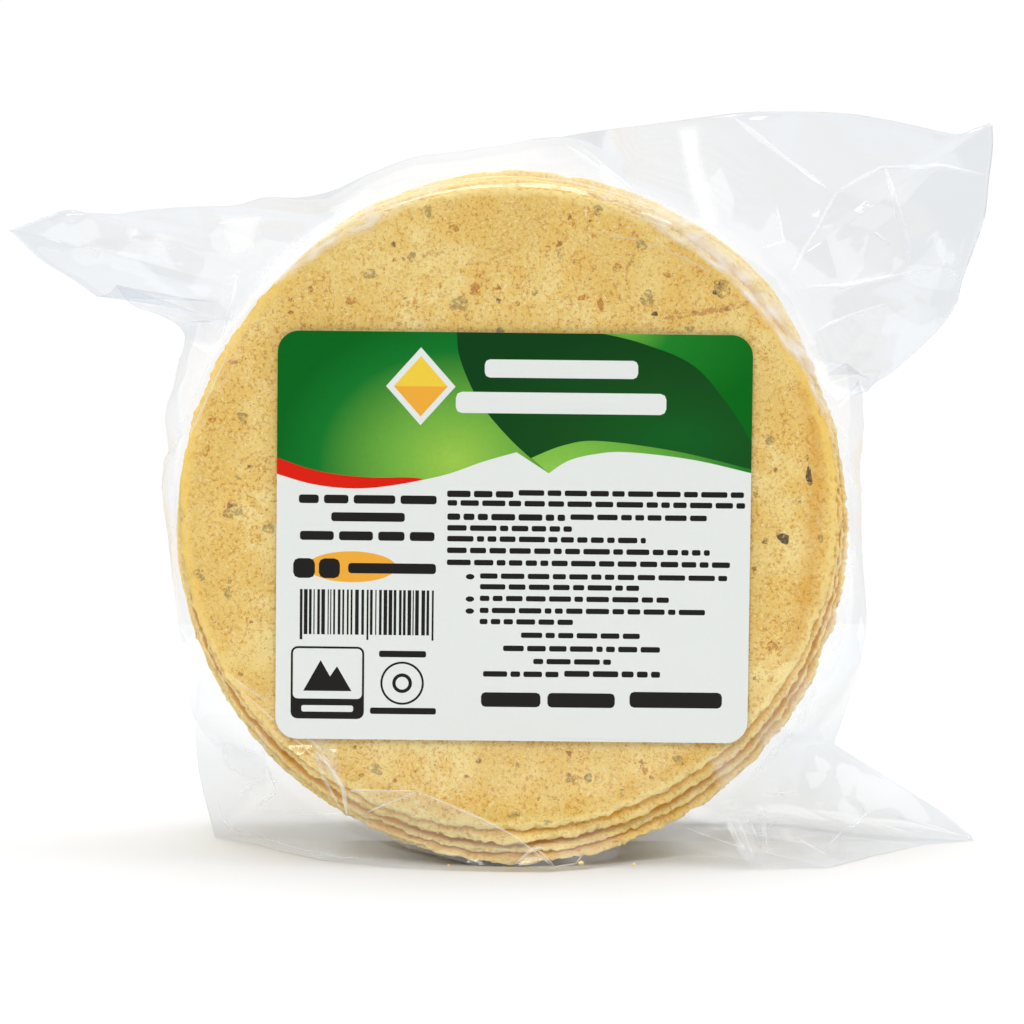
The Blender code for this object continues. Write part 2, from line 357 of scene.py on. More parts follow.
def ragged(seed, count, fine=False):
    """Radius factor round a pressed and torn edge."""
    r = np.random.default_rng(seed)
    a = np.linspace(0, 2 * np.pi, count, endpoint=False)
    out = np.zeros(count)
    for k, size in ((2, 0.0035), (3, 0.003), (4, 0.002), (7, 0.0014), (13, 0.0013), (29, 0.0012), (53, 0.0010)):
        out += size * r.uniform(0.4, 1.0) * np.sin(k * a + r.uniform(0, 6.28))
    if fine:
        for width, size in ((9, 0.0026), (4, 0.0028), (1, 0.0030)):
            raw = r.normal(0, 1, count)
            kernel = np.hanning(2 * width + 1)
            wrapped = np.concatenate([raw[-width:], raw, raw[:width]])
            soft = np.convolve(wrapped, kernel / np.sqrt((kernel**2).sum()), "valid")[:count]
            out += size * 0.5 * soft
    # short torn nicks
    for _ in range(9):
        at, width, deep = r.uniform(0, 2 * np.pi), r.uniform(0.008, 0.03), r.uniform(0.003, 0.010)
        gap = np.angle(np.exp(1j * (a - at)))
        out -= deep * np.exp(-((gap / width) ** 2))
    return a, 1.0 + out


def tortilla_mesh(oval, y_front, thick, seed, count, face_rings, wave, fine=False, slip=0.0, slump=0.0):
    """Verts, faces and rim weight of one tortilla: front face rings, rounded torn rim, back face."""
    cx, cz, sx, sz = oval
    a, factor = ragged(seed, count, fine)
    r = np.random.default_rng(seed + 1000)
    wave_phase = r.uniform(0, 6.28, 3)
    last_face = 7.0 if fine else 2.6
    profile = [(s, 0.0, 0.0) for s in face_rings]
    if fine:
        for inset in (6.2, 5.4, 4.6, 3.9, 3.3, 2.7, 2.2, 1.7, 1.2, 0.8):
            profile.append((("in", inset), 0.0, float(0.85 * smooth((2.3 - inset) / 1.5))))
    else:
        profile += [(("in", 2.0), 0.0, 0.15), (("in", 0.9), 0.03 * thick, 0.7)]
    profile += [
        (("in", 0.35), 0.12 * thick, 1.0),
        (("in", 0.08), 0.28 * thick, 1.0),
        (("in", 0.0), 0.5 * thick, 1.0),
        (("in", 0.12), 0.78 * thick, 1.0),
        (("in", 0.6), 0.95 * thick, 0.8),
        (("in", 1.8), 1.0 * thick, 0.2),
        (("in", 14.0), 1.0 * thick, 0.0),
    ]
    rows, rim = [], []
    for s, dy, weight in profile:
        crumb = np.zeros(count)
        if isinstance(s, tuple):
            inset = s[1]
            if fine and inset < 3.5:
                raw = r.normal(0, 1, count)
                crumb = 0.5 * raw + 0.35 * (np.roll(raw, 1) + np.roll(raw, -1))
                inset = inset + 0.20 * crumb * (0.4 + 0.6 * (inset < 1.0))
            rx, rz = sx * factor - inset + slip * swell(a), sz * factor - inset + slip * swell(a)
        else:
            rx, rz = (sx * factor - last_face + slip * swell(a)) * s, (sz * factor - last_face + slip * swell(a)) * s
        x = cx + rx * np.cos(a)
        z = np.maximum(cz + rz * np.sin(a), 0.35)
        out = np.clip(rx / sx, 0, 1)
        bend = wave * out**6 * (
            0.55 * np.sin(3 * a + wave_phase[0]) + 0.35 * np.sin(5 * a + wave_phase[1]) + 0.25 * np.sin(9 * a + wave_phase[2])
        )
        y = y_front + dy + bend + 0.16 * np.abs(crumb)
        y = y - slump * smooth((9.5 - z) / 9.5)  # the feet of the first few have slumped forward
        rows.append(np.stack([x, y, z], 1))
        rim.append(np.full(count, weight))
    verts = np.concatenate(rows + [[[cx, y_front, cz]], [[cx, y_front + thick, cz]]])
    rim = np.concatenate(rim + [[0.0, 0.0]])
    faces = []
    idx = np.arange(count)
    nxt = (idx + 1) % count
    for k in range(len(profile) - 1):
        faces.append(np.stack([k * count + idx, k * count + nxt, (k + 1) * count + nxt, (k + 1) * count + idx], 1))
    quads = np.concatenate(faces)
    front_c, back_c = len(verts) - 2, len(verts) - 1
    last = (len(profile) - 1) * count
    tris = [(front_c, int(nxt[i]), int(i)) for i in idx] + [
        (back_c, int(last + i), int(last + nxt[i])) for i in idx
    ]
    return verts, quads, tris, rim


def relief(x, z, size, seed):
    """Height of a fine uneven surface."""
    r = np.random.default_rng(seed)
    out = np.zeros(len(x))
    for wave_length, share in ((31, 0.5), (17, 0.3), (9, 0.25), (5, 0.2), (3.1, 0.15)):
        for _ in range(3):
            t = r.uniform(0, 6.28)
            out += share * np.sin(2 * np.pi * (x * np.cos(t) + z * np.sin(t)) / wave_length + r.uniform(0, 6.28))
    return size * out


def join_rows(parts):
    verts, faces, rims, start = [], [], [], 0
    for v, quads, tris, rim in parts:
        verts.append(v)
        faces += [tuple(int(i) + start for i in q) for q in quads]
        faces += [tuple(i + start for i in t) for t in tris]
        rims.append(rim)
        start += len(v)
    return np.concatenate(verts), faces, np.concatenate(rims)


def add_mark(obj, name, values):
    attribute = obj.data.attributes.new(name, "FLOAT", "POINT")
    attribute.data.foreach_set("value", np.asarray(values, dtype=np.float32))


def away_from_line(x, z, line):
    """Distance of many points from a run of straight pieces."""
    best = np.full(len(x), 1e9)
    for (x0, z0), (x1, z1) in zip(line, line[1:]):
        dx, dz = x1 - x0, z1 - z0
        t = np.clip(((x - x0) * dx + (z - z0) * dz) / (dx * dx + dz * dz), 0, 1)
        best = np.minimum(best, np.hypot(x - x0 - t * dx, z - z0 - t * dz))
    return best


def inside_edge(x, z, oval):
    """Millimetres from an oval's edge, negative inside it."""
    cx, cz, sx, sz = oval
    return (np.hypot((x - cx) / sx, (z - cz) / sz) - 1) * (sx + sz) / 2


# the front tortilla, fine enough to carry its own surface
v, q, t, rim = tortilla_mesh(FRONT_OVAL, FIRST_Y, PITCH * 1.15, 5, 760, list(np.linspace(0.03, 1.0, 44)), 0.0, True)
FOLD = [(70.5, 110.1), (72.4, 104.1), (73.1, 92.7), (72.5, 75.8), (69.8, 59.0), (67.1, 48.5)]  # an old fold near its right edge
fold_away = away_from_line(v[:, 0], v[:, 2], FOLD)
face = v[:, 1] < FIRST_Y + 0.3
v[:, 1] += np.where(face, 0.10 + relief(v[:, 0], v[:, 2], 0.055, 3), 0.0)
v[:, 1] += np.where(face, 0.35 * np.exp(-((fold_away / 2.2) ** 2)), 0.0)
front = mesh_object("tortilla_front", v, [tuple(map(int, f)) for f in q] + t, TORTILLA)
add_mark(front, "rim", rim)
angle = np.degrees(np.arctan2(v[:, 2] - FRONT_OVAL[1], v[:, 0] - FRONT_OVAL[0]))
edge = inside_edge(v[:, 0], v[:, 2], FRONT_OVAL)
toast_and_gap_shade = 0.5 * np.exp(-((fold_away / 2.4) ** 2)) * (v[:, 2] > 48)
toast_and_gap_shade += 0.16 * np.exp(-(((edge + 4.2) / 1.6) ** 2)) * smooth((-angle - 28) / 15) * smooth((angle + 135) / 20)
add_mark(front, "toast_and_gap_shade", toast_and_gap_shade)
# painted glow round the front tortilla's thin lip, how strong by angle round it
painted_lip_glow = np.interp(
    (angle + 360) % 360,
    [0, 8, 24, 44, 56, 110, 135, 160, 190, 215, 240, 330, 350, 360],
    [0.45, 0.8, 0.95, 0.7, 0.2, 0.2, 0.7, 0.85, 0.75, 0.3, 0.0, 0.0, 0.3, 0.45],
)
add_mark(front, "glow", np.clip(painted_lip_glow * smooth((edge + 3.6) / 3.0) * 0.9, 0, 1))

# those just behind it, which have slipped down and sideways, step by step
# the last column also sets the painted shade of the gap beside each step
STEPS = [  # how much lower the foot is than the one in front, sideways shift, space in front, toasting beside that
    (2.7, 0.5, 0.15, 0.6),
    (3.0, 0.8, 0.9, 1.5),
    (2.0, 2.0, 0.15, 0.75),
]
PITCH = (BACK_Y - 0.9 - FIRST_Y - sum(step[2] for step in STEPS)) / COUNT
low = FRONT_OVAL[1] - FRONT_OVAL[3]
place = FIRST_Y + PITCH
before = FRONT_OVAL
step_parts, stack_parts, toast_and_gap_shades = [], [], []
for i in range(1, COUNT):
    if i <= len(STEPS):
        drop, side, space, gap_toast_and_shade = STEPS[i - 1]
        low -= drop
        sx = FRONT_OVAL[2] + 0.25 * i
        sz = FRONT_OVAL[3] + 0.9 * i
        cx = FRONT_OVAL[0] + side
        place += space
    else:
        low = 0.35 + (0.35 if i % 3 else 0.0) + abs(rng.normal(0, 0.35))
        sx = STACK_OVAL[2] + rng.normal(0, 0.45)
        sz = STACK_OVAL[3] + rng.normal(0, 0.5)
        cx = STACK_OVAL[0] + rng.normal(0.1, 0.6)
        gap_toast_and_shade = 0.4
    cz = low + sz
    fine = i <= 6
    part = tortilla_mesh(
        (cx, cz, sx, sz),
        place,
        PITCH * 0.96,
        20 + i,
        760 if fine else 170,
        [0.9, 0.955, 1.0] if fine else [0.86],
        0.1 if fine or i == COUNT - 1 else 0.22,
        fine,
        0.0 if i <= len(STEPS) else rng.uniform(0.45, 1.0),
        5.2 * math.exp(-((max(0, i - 3) / 9.0) ** 2)),
    )
    if fine:
        past = inside_edge(part[0][:, 0], part[0][:, 2], before)
        # toasted colour and painted shade of the gap, just beside the edge of the tortilla in front
        toast_and_gap_shades.append(gap_toast_and_shade * np.exp(-((np.clip(past - 0.2, 0, None) / 1.15) ** 2)) * (part[3] < 0.99))
        step_parts.append(part)
    else:
        stack_parts.append(part)
    before = (cx, cz, sx, sz)
    place += PITCH
verts, faces, rim = join_rows(step_parts)
stepped = mesh_object("tortilla_steps", verts, faces, TORTILLA)
add_mark(stepped, "rim", 0.62 * rim * (1 - 0.8 * np.clip(np.concatenate(toast_and_gap_shades), 0, 1)))
add_mark(stepped, "toast_and_gap_shade", np.concatenate(toast_and_gap_shades))
verts, faces, rim = join_rows(stack_parts)
stack = mesh_object("tortilla_stack", verts, faces, TORTILLA)
add_mark(stack, "rim", rim)

# scraps of hull and toasted meal in the front tortilla: x, z, width, height, kind
SCRAPS = [
    (-29.9, 138.0, 2.6, 2.6, "g"),
    (-20.3, 141.9, 2.2, 2.0, "g"),
    (-21.9, 132.4, 1.2, 0.6, "g"),
    (-9.5, 131.1, 4.0, 3.6, "g"),
    (-5.9, 134.6, 2.6, 2.6, "b"),
    (-0.3, 134.8, 1.2, 1.2, "b"),
    (13.8, 142.5, 1.3, 2.2, "g"),
    (8.0, 133.7, 1.3, 1.8, "g"),
    (-16.6, 152.5, 2.0, 3.0, "g"),
    (-34.3, 131.8, 2.4, 2.0, "b"),
    (-10.4, 148.6, 2.2, 2.0, "b"),
    (22.5, 152.7, 2.4, 2.2, "g"),
    (32.4, 144.7, 2.6, 2.4, "g"),
    (51.0, 134.8, 4.4, 3.7, "g"),
    (50.0, 135.9, 1.5, 0.8, "k"),
    (52.6, 133.9, 0.8, 1.4, "k"),
    (49.4, 133.7, 0.9, 1.2, "k"),
    (33.8, 132.3, 3.6, 3.4, "g"),
    (35.6, 128.8, 1.3, 1.3, "k"),
    (52.0, 130.0, 1.6, 0.8, "g"),
    (43.7, 125.4, 2.2, 1.4, "g"),
    (34.7, 152.5, 1.4, 0.8, "g"),
    (71.3, 91.1, 1.5, 4.2, "k"),
    (65.5, 76.8, 2.5, 2.7, "k"),
    (74.1, 76.8, 1.2, 2.0, "g"),
    (68.9, 55.9, 0.7, 0.7, "k"),
    (63.4, 51.8, 3.0, 3.2, "b"),
    (69.2, 85.3, 0.8, 1.0, "g"),
    (62.2, 99.7, 2.6, 2.0, "g"),
    (-59.3, 104.9, 2.2, 2.8, "g"),
    (-61.8, 83.2, 4.2, 3.6, "g"),
    (-53.4, 79.1, 2.6, 2.6, "g"),
    (-69.6, 68.4, 2.6, 2.8, "g"),
    (-63.0, 64.2, 2.4, 2.6, "g"),
    (-61.6, 117.7, 2.0, 1.4, "b"),
    (-67.9, 97.4, 2.0, 2.6, "b"),
    (-66.4, 104.3, 2.0, 1.2, "b"),
    (-29.1, 23.0, 3.4, 2.6, "g"),
    (-32.3, 21.4, 1.3, 1.2, "g"),
    (-25.4, 18.5, 2.2, 1.4, "g"),
    (16.3, 20.5, 2.4, 1.6, "g"),
    (41.4, 25.0, 2.8, 2.2, "g"),
    (33.4, 23.3, 1.7, 3.8, "b"),
    (3.0, 12.2, 3.0, 1.6, "g"),
    (28.3, 18.1, 1.0, 0.6, "g"),
    (38.6, 137.8, 2.4, 1.4, "b"),
    (19.1, 132.5, 2.6, 1.2, "b"),
    (23.2, 130.9, 1.4, 3.6, "b"),
    (17.2, 140.8, 1.2, 1.6, "b"),
    (26.9, 139.4, 2.2, 2.2, "b"),
    (21.6, 139.4, 1.2, 1.6, "b"),
]
scrap_rng = np.random.default_rng(9)


def front_surface(x, z):
    x, z = np.atleast_1d(np.asarray(x, float)), np.atleast_1d(np.asarray(z, float))
    y = FIRST_Y + 0.10 + relief(x, z, 0.055, 3)
    return y + 0.35 * np.exp(-((away_from_line(x, z, FOLD) / 2.2) ** 2))


made = {"g": ([], []), "b": ([], []), "k": ([], [])}
for x, z, wide, tall, kind in SCRAPS:
    verts, faces = made[kind]
    turn = scrap_rng.uniform(-0.4, 0.4)
    start = len(verts)
    sides = 22
    around = np.arange(sides) * 2 * math.pi / sides
    p = scrap_rng.uniform(0, 6.28, 4)
    jitter = 1 + 0.16 * np.sin(2 * around + p[0]) + 0.12 * np.sin(3 * around + p[1]) + 0.08 * np.sin(5 * around + p[2]) + 0.06 * np.sin(8 * around + p[3])
    for ring in (0.0, 0.5, 1.0):
        for k in range(sides if ring else 1):
            a = 2 * math.pi * k / sides
            u = ring * wide / 2 * jitter[k] * math.cos(a)
            w = ring * tall / 2 * jitter[k] * math.sin(a)
            px, pz = x + u * math.cos(turn) - w * math.sin(turn), z + u * math.sin(turn) + w * math.cos(turn)
            verts.append((px, float(front_surface(px, pz)[0]) - 0.05, pz))
    for k in range(sides):
        j = (k + 1) % sides
        faces.append((start, start + 1 + k, start + 1 + j))
        faces.append((start + 1 + k, start + 1 + sides + k, start + 1 + sides + j, start + 1 + j))
hulls = mesh_object("hull_scraps", *made["g"], HULL)
browns = mesh_object("toasted_scraps", *made["b"], HULL_BROWN)
darks = mesh_object("dark_scraps", *made["k"], HULL_DARK)


def dough_line(name, line, width, seed, material):
    """A narrow ragged line on the front tortilla's face."""
    r = np.random.default_rng(seed)
    pts = []
    for (x0, z0), (x1, z1) in zip(line, line[1:]):
        steps_here = max(2, int(math.hypot(x1 - x0, z1 - z0) / 0.35))
        pts += [(x0 + (x1 - x0) * k / steps_here, z0 + (z1 - z0) * k / steps_here) for k in range(steps_here)]
    pts.append(line[-1])
    verts, faces = [], []
    for k, (x, z) in enumerate(pts):
        a, b = pts[max(0, k - 1)], pts[min(len(pts) - 1, k + 1)]
        length = math.hypot(b[0] - a[0], b[1] - a[1])
        nx, nz = -(b[1] - a[1]) / length, (b[0] - a[0]) / length
        t = k / (len(pts) - 1)
        half = width / 2 * min(1.0, t / 0.1, (1 - t) / 0.1) ** 0.5 * r.uniform(0.55, 1.1) + 0.02
        off = 0.12 * r.normal()
        for side, lift in ((-1, 0.03), (0, 0.05), (1, 0.03)):
            px, pz = x + nx * (off + side * half), z + nz * (off + side * half)
            verts.append((px, float(front_surface(px, pz)[0]) - lift, pz))
        if k:
            s0 = len(verts) - 6
            faces += [(s0, s0 + 1, s0 + 4, s0 + 3), (s0 + 1, s0 + 2, s0 + 5, s0 + 4)]
    return mesh_object(name, verts, faces, material)


crack = dough_line("dough_crack", [(23.5, 147.7), (25.7, 146.8), (28.2, 146.1), (30.1, 146.3), (31.8, 145.9), (32.8, 144.9), (34.0, 144.3), (35.8, 144.7), (37.9, 144.3), (39.2, 142.9), (40.4, 142.6), (42.4, 141.8), (45.5, 139.9), (49.4, 137.6)], 0.55, 3, DOUGH)
# painted shade of the dent: a darker orange stripe, not a hollow
dent_shade = dough_line("dough_dent_shade", [(37.9, 127.7), (41.4, 128.5), (45.0, 129.0), (48.7, 129.5), (52.7, 130.2), (57.7, 131.6)], 1.5, 4, DENT_SHADE)


def crumb_pieces():
    """Crumbs that have come off the rims and lie caught between the film and the stack."""
    r = np.random.default_rng(77)
    bm = bmesh.new()
    for x, y, z, size in ((18.7, -38.6, 1.6, 0.62), (-19.2, -35.3, 23.9, 0.42), (31.0, -37.4, 1.0, 0.4), (-12.0, -38.0, 0.9, 0.35)):
        made_here = bmesh.ops.create_icosphere(bm, subdivisions=3, radius=size * MM)
        shift = r.uniform(0, 6.28, 3)
        for v in made_here["verts"]:
            p = v.co / MM / size
            lump = 1 + 0.16 * math.sin(3 * p.x + shift[0]) + 0.14 * math.sin(4 * p.y + shift[1]) + 0.12 * math.sin(5 * p.z + shift[2])
            v.co = v.co * lump * 0.9 + Vector((x, y, max(z, size + 0.3))) * MM
    mesh = bpy.data.meshes.new("crumbs")
    bm.to_mesh(mesh)
    bm.free()
    mesh.shade_smooth()
    obj = bpy.data.objects.new("crumbs", mesh)
    bpy.context.scene.collection.objects.link(obj)
    obj.data.materials.append(TORTILLA)
    add_mark(obj, "rim", np.ones(len(mesh.vertices)))
    return obj


crumbs = crumb_pieces()


# ------------------------------------------------------------------- film ----
# outline: x, z, y of the join of the two sheets, angle round the stack that the film fans out from, corner or not
OUTLINE = [
    (116.0, 171.6, 2.0, 44.0, 1),
    (116.2, 165.8, 2.0, 43.0, 0),
    (115.2, 157.5, 1.0, 41.0, 0),
    (114.3, 149.5, 0.0, 38.5, 0),
    (111.5, 141.3, -1.0, 35.5, 0),
    (109.0, 134.7, -2.0, 33.0, 0),
    (107.6, 129.2, -3.0, 30.5, 0),
    (104.4, 124.4, -4.0, 28.0, 0),
    (99.0, 118.9, -5.0, 25.5, 0),
    (92.2, 112.9, -5.0, 23.0, 0),
    (88.9, 111.0, -5.0, 21.6, 1),
    (86.0, 111.7, -3.0, 21.0, 0),
    (83.8, 113.4, 0.0, 20.5, 1),
    (84.1, 108.1, 0.0, 18.6, 0),
    (84.4, 101.2, 0.0, 15.4, 0),
    (83.6, 90.8, 0.0, 8.2, 0),
    (84.1, 83.4, 0.0, 3.0, 0),
    (84.1, 76.2, 0.0, -2.2, 0),
    (84.6, 68.8, 0.0, -7.2, 0),
    (85.2, 61.4, 0.0, -12.1, 0),
    (85.7, 53.5, 0.5, -17.1, 0),
    (85.7, 43.2, 1.0, -23.3, 0),
    (83.6, 36.2, 1.0, -27.8, 0),
    (81.5, 29.5, 1.0, -32.0, 0),
    (79.5, 23.8, 1.0, -35.7, 1),
    (83.7, 20.9, 1.0, -39.0, 0),
    (95.2, 13.6, 1.5, -45.0, 0),
    (106.5, 6.4, 2.0, -50.0, 0),
    (113.6, 0.4, 2.2, -54.0, 1),
    (98.0, 0.2, 1.0, -57.5, 0),
    (80.0, 0.2, 0.0, -60.5, 0),
    (60.0, 0.2, 0.0, -65.0, 0),
    (40.0, 0.2, 0.0, -71.5, 0),
    (20.0, 0.2, 0.0, -79.5, 0),
    (0.0, 0.2, 0.0, -91.0, 0),
    (-20.0, 0.2, 0.0, -103.0, 0),
    (-40.0, 0.2, 1.0, -115.5, 0),
    (-55.0, 0.2, 4.0, -124.5, 0),
    (-68.6, 0.3, 7.5, -133.0, 1),
    (-71.9, 14.4, 6.0, -138.0, 0),
    (-72.9, 23.7, 5.0, -143.2, 0),
    (-73.6, 32.6, 4.0, -148.6, 0),
    (-74.0, 40.8, 3.0, -153.5, 0),
    (-74.3, 48.5, 3.0, -158.3, 0),
    (-75.2, 55.7, 2.0, -163.0, 0),
    (-75.9, 62.6, 1.0, -168.2, 0),
    (-76.7, 69.3, 0.0, -173.0, 0),
    (-77.4, 76.2, 0.0, -177.9, 0),
    (-78.4, 82.9, 0.0, -182.6, 0),
    (-78.7, 89.1, 0.0, -186.9, 0),
    (-78.3, 92.2, 0.0, -189.0, 0),
    (-77.0, 95.5, 0.0, -191.5, 1),
    (-77.9, 104.6, 0.0, -197.4, 0),
    (-76.2, 110.0, 0.0, -201.2, 0),
    (-75.2, 115.0, 0.0, -204.3, 0),
    (-74.0, 119.7, 0.0, -207.0, 0),
    (-74.4, 123.5, 0.0, -209.2, 1),
    (-80.5, 126.1, 0.0, -212.0, 0),
    (-87.3, 128.7, 0.5, -214.5, 0),
    (-90.8, 133.2, 1.0, -216.0, 1),
    (-92.5, 131.3, -1.0, -216.8, 0),
    (-95.1, 130.7, -3.0, -217.6, 1),
    (-101.7, 135.1, -1.0, -219.2, 0),
    (-108.5, 139.1, 1.0, -221.0, 0),
    (-116.2, 146.0, 3.0, -223.4, 1),
    (-103.2, 150.7, 2.0, -227.0, 0),
    (-97.3, 150.2, 2.0, -228.6, 0),
    (-90.4, 150.0, 1.0, -230.3, 0),
    (-86.2, 150.7, 1.0, -231.6, 0),
    (-73.7, 151.7, 0.0, -235.0, 0),
    (-62.6, 152.1, 0.0, -238.2, 0),
    (-55.8, 153.9, 0.0, -240.6, 0),
    (-47.5, 153.9, 0.0, -243.7, 0),
    (-39.9, 155.4, 0.0, -246.8, 0),
    (-32.9, 158.5, 0.0, -250.3, 0),
    (-21.1, 162.4, 0.0, -256.3, 0),
    (-13.8, 163.3, 0.0, -260.3, 0),
    (1.6, 165.4, 0.0, -269.0, 0),
    (17.8, 168.8, 0.0, -277.3, 0),
    (35.9, 171.2, 0.0, -285.8, 0),
    (46.3, 172.6, 0.0, -290.6, 0),
    (57.8, 174.0, 0.0, -296.0, 0),
    (69.6, 174.2, 0.0, -301.0, 0),
    (81.6, 173.7, 0.0, -305.5, 0),
    (91.7, 172.1, 0.5, -309.2, 0),
    (101.9, 169.9, 1.0, -312.6, 0),
    (108.0, 168.8, 1.0, -314.5, 0),
    (111.5, 170.0, 1.5, -315.3, 0),
]
# where the sheets touch the floor, front and back: x, y
FRONT_FOOT = [
    (-68.6, 7.0), (-60.0, -0.5), (-52.0, -14.0), (-42.0, -26.0), (-28.0, -36.0), (-12.0, -41.5), (2.3, -43.0),
    (11.0, -43.6), (20.0, -39.5), (32.0, -29.0), (44.0, -20.0), (54.0, -22.0), (60.5, -33.0), (65.3, -39.1), (76.7, -37.7),
    (88.0, -20.0), (100.6, -4.5), (113.6, 2.0),
]
BACK_FOOT = [
    (-68.6, 8.0), (-56.0, 17.0), (-40.0, 25.0), (-20.0, 31.0), (0.0, 33.5), (22.0, 32.0), (40.0, 26.0),
    (52.0, 22.0), (62.0, 29.0), (72.0, 27.0), (82.0, 15.0), (98.0, 6.0), (113.6, 2.4),
]
RIM = (2.9, 79.4, 78.3, 78.6)  # centre and half sizes of the oval where the front sheet turns back
FRONT_RIM = (2.0, 83.4, 76.6, 74.9)
STEP = 0.95  # spacing of the film's points along its outline


def trace_outline():
    pts = np.array([p[:4] for p in OUTLINE], float)
    corner = [p[4] for p in OUTLINE]
    count = len(pts)
    ang = pts[:, 3].copy()
    rows = []
    for i in range(count):
        j = (i + 1) % count
        p1, p2 = pts[i].copy(), pts[j].copy()
        if j == 0:
            p2[3] -= 360.0
        p0 = pts[i - 1].copy() if not corner[i] else p1 - (p2 - p1)
        if i == 0 and not corner[i]:
            p0[3] += 360.0
        p3 = pts[(j + 1) % count].copy() if not corner[j] else p2 + (p2 - p1)
        if not corner[j] and (j + 1) >= count:
            p3[3] -= 360.0
        length = max(np.hypot(*(p2 - p1)[:2]), abs(math.radians(p2[3] - p1[3])) * 70.0)
        steps = max(1, int(round(length / STEP)))
        for k in range(steps):
            t = k / steps
            c = 0.5 * (
                2 * p1 + (p2 - p0) * t + (2 * p0 - 5 * p1 + 4 * p2 - p3) * t * t + (3 * p1 - p0 - 3 * p2 + p3) * t**3
            )
            c[3] = p1[3] + (p2[3] - p1[3]) * t  # never doubles back
            rows.append(c)
    return np.array(rows)


def interpolate(table, x):
    xs = np.array([p[0] for p in table])
    ys = np.array([p[1] for p in table])
    return np.interp(x, xs, ys)


# creases: lines of x, z and how far the film stands forward of its even run
FRONT_FOLDS = [
    [(42.7, 171.2, 0.3), (43.9, 163.1, 2.0), (46.5, 154.7, 2.5), (49.4, 146.3, 0.6)],
    [(49.1, 170.5, 0.0), (51.9, 161.9, -1.2), (54.2, 154.3, -1.6), (50.4, 145.9, 0.0)],
    [(54.5, 173.1, 0.0), (64.5, 165.3, 1.6), (76.4, 156.6, 3.0), (78.5, 156.1, 3.0)],
    [(78.5, 156.1, 3.0), (89.3, 161.3, 2.6), (103.4, 161.4, 1.6), (115.0, 159.0, 0.0)],
    [(78.5, 156.1, 3.0), (74.1, 148.3, 0.4), (69.8, 141.9, -2.4), (67.1, 137.2, -0.6)],
    [(90.0, 161.8, 2.8), (92.9, 151.4, 3.2), (95.9, 139.3, 1.6), (96.5, 134.2, 0.4)],
    [(87.1, 146.7, -1.6), (91.2, 143.3, 0.6)],
    [(69.7, 134.8, 0.0), (79.3, 134.5, 1.5), (91.1, 136.2, 2.4), (104.7, 137.5, 2.8), (108.1, 134.1, 0.4)],
    [(73.2, 124.6, 0.5), (81.6, 127.6, 2.0), (90.6, 130.0, 2.4)],
    [(90.6, 130.0, 2.4), (90.3, 119.5, -1.4), (88.8, 112.9, 0.0)],
    [(60.1, 161.9, -1.0), (64.1, 152.8, -2.0), (65.7, 145.0, -2.2), (60.2, 143.6, -0.8)],
    [(15.4, 167.2, 0.3), (23.3, 161.8, 1.4), (30.5, 156.1, 0.4)],
    [(-108.7, 142.0, 0.5), (-102.4, 141.6, 1.4), (-94.9, 145.0, 2.2), (-96.8, 137.4, 0.6)],
    [(-86.5, 144.5, 1.0), (-84.9, 147.2, 1.9), (-78.5, 144.4, 0.6), (-68.8, 140.7, -1.2)],
    [(-66.7, 148.3, 0.8), (-60.9, 148.8, 1.8), (-55.0, 149.8, 1.4)],
    [(-59.2, 144.4, 1.5), (-53.9, 139.4, 0.0)],
    [(-60.2, 138.9, 0.8), (-62.0, 131.6, 1.6), (-64.2, 123.1, 1.6), (-69.8, 110.4, 1.0), (-76.0, 96.8, 0.3)],
    [(-62.6, 44.9, 0.3), (-52.2, 37.6, 0.8), (-43.7, 29.6, 1.8)],
    [(-43.7, 29.6, 1.8), (-39.5, 26.9, 1.0), (-35.5, 19.0, 2.3), (-35.6, 12.7, 0.8)],
    [(-41.0, 27.0, 0.2), (-39.5, 19.3, -0.1), (-37.0, 14.0, 0.1)],
    [(-54.5, 24.5, 0.5), (-52.1, 17.1, 1.6), (-57.3, 11.7, 0.8)],
    [(-50.6, 19.8, 1.2), (-54.8, 13.4, 0.6)],
    [(52.4, 11.4, 1.5), (56.7, 3.4, 2.0), (62.0, 0.9, 0.6)],
    [(60.7, 13.6, 1.2), (62.1, 4.0, 2.0)],
    [(68.5, 5.8, 2.0), (76.9, 1.4, 0.8)],
    [(85.2, 11.1, 1.5), (86.7, 8.6, 1.8), (76.0, 3.0, 1.2)],
    [(67.9, 13.7, -1.5), (73.0, 11.2, 1.4), (81.4, 12.8, -1.0)],
]


def random_folds(seed, count, size):
    """Loose creases of a sheet that the front doesn't show: short lines in the flaps."""
    r = np.random.default_rng(seed)
    out = []
    spots = [(62, 112, 120, 168), (-108, -62, 134, 148), (-66, -46, 6, 30), (60, 100, 4, 18), (10, 60, 160, 170)]
    for x0, x1, z0, z1 in spots:
        for _ in range(count if x1 - x0 > 30 else 2):
            x, z = r.uniform(x0, x1), r.uniform(z0, z1)
            t, length = r.uniform(0, 6.28), r.uniform(6, 18)
            h = r.uniform(-size, size)
            out.append([(x, z, h), (x + length * math.cos(t), z + length * math.sin(t), h * r.uniform(0.1, 0.7))])
    return out


def inside(px, pz, poly):
    """Even-odd test of many points against one polygon."""
    hit = np.zeros(len(px), bool)
    n = len(poly)
    for i in range(n):
        x0, z0 = poly[i]
        x1, z1 = poly[(i + 1) % n]
        if z0 == z1:
            continue
        cross = ((z0 > pz) != (z1 > pz)) & (px < (x1 - x0) * (pz - z0) / (z1 - z0) + x0)
        hit ^= cross
    return hit


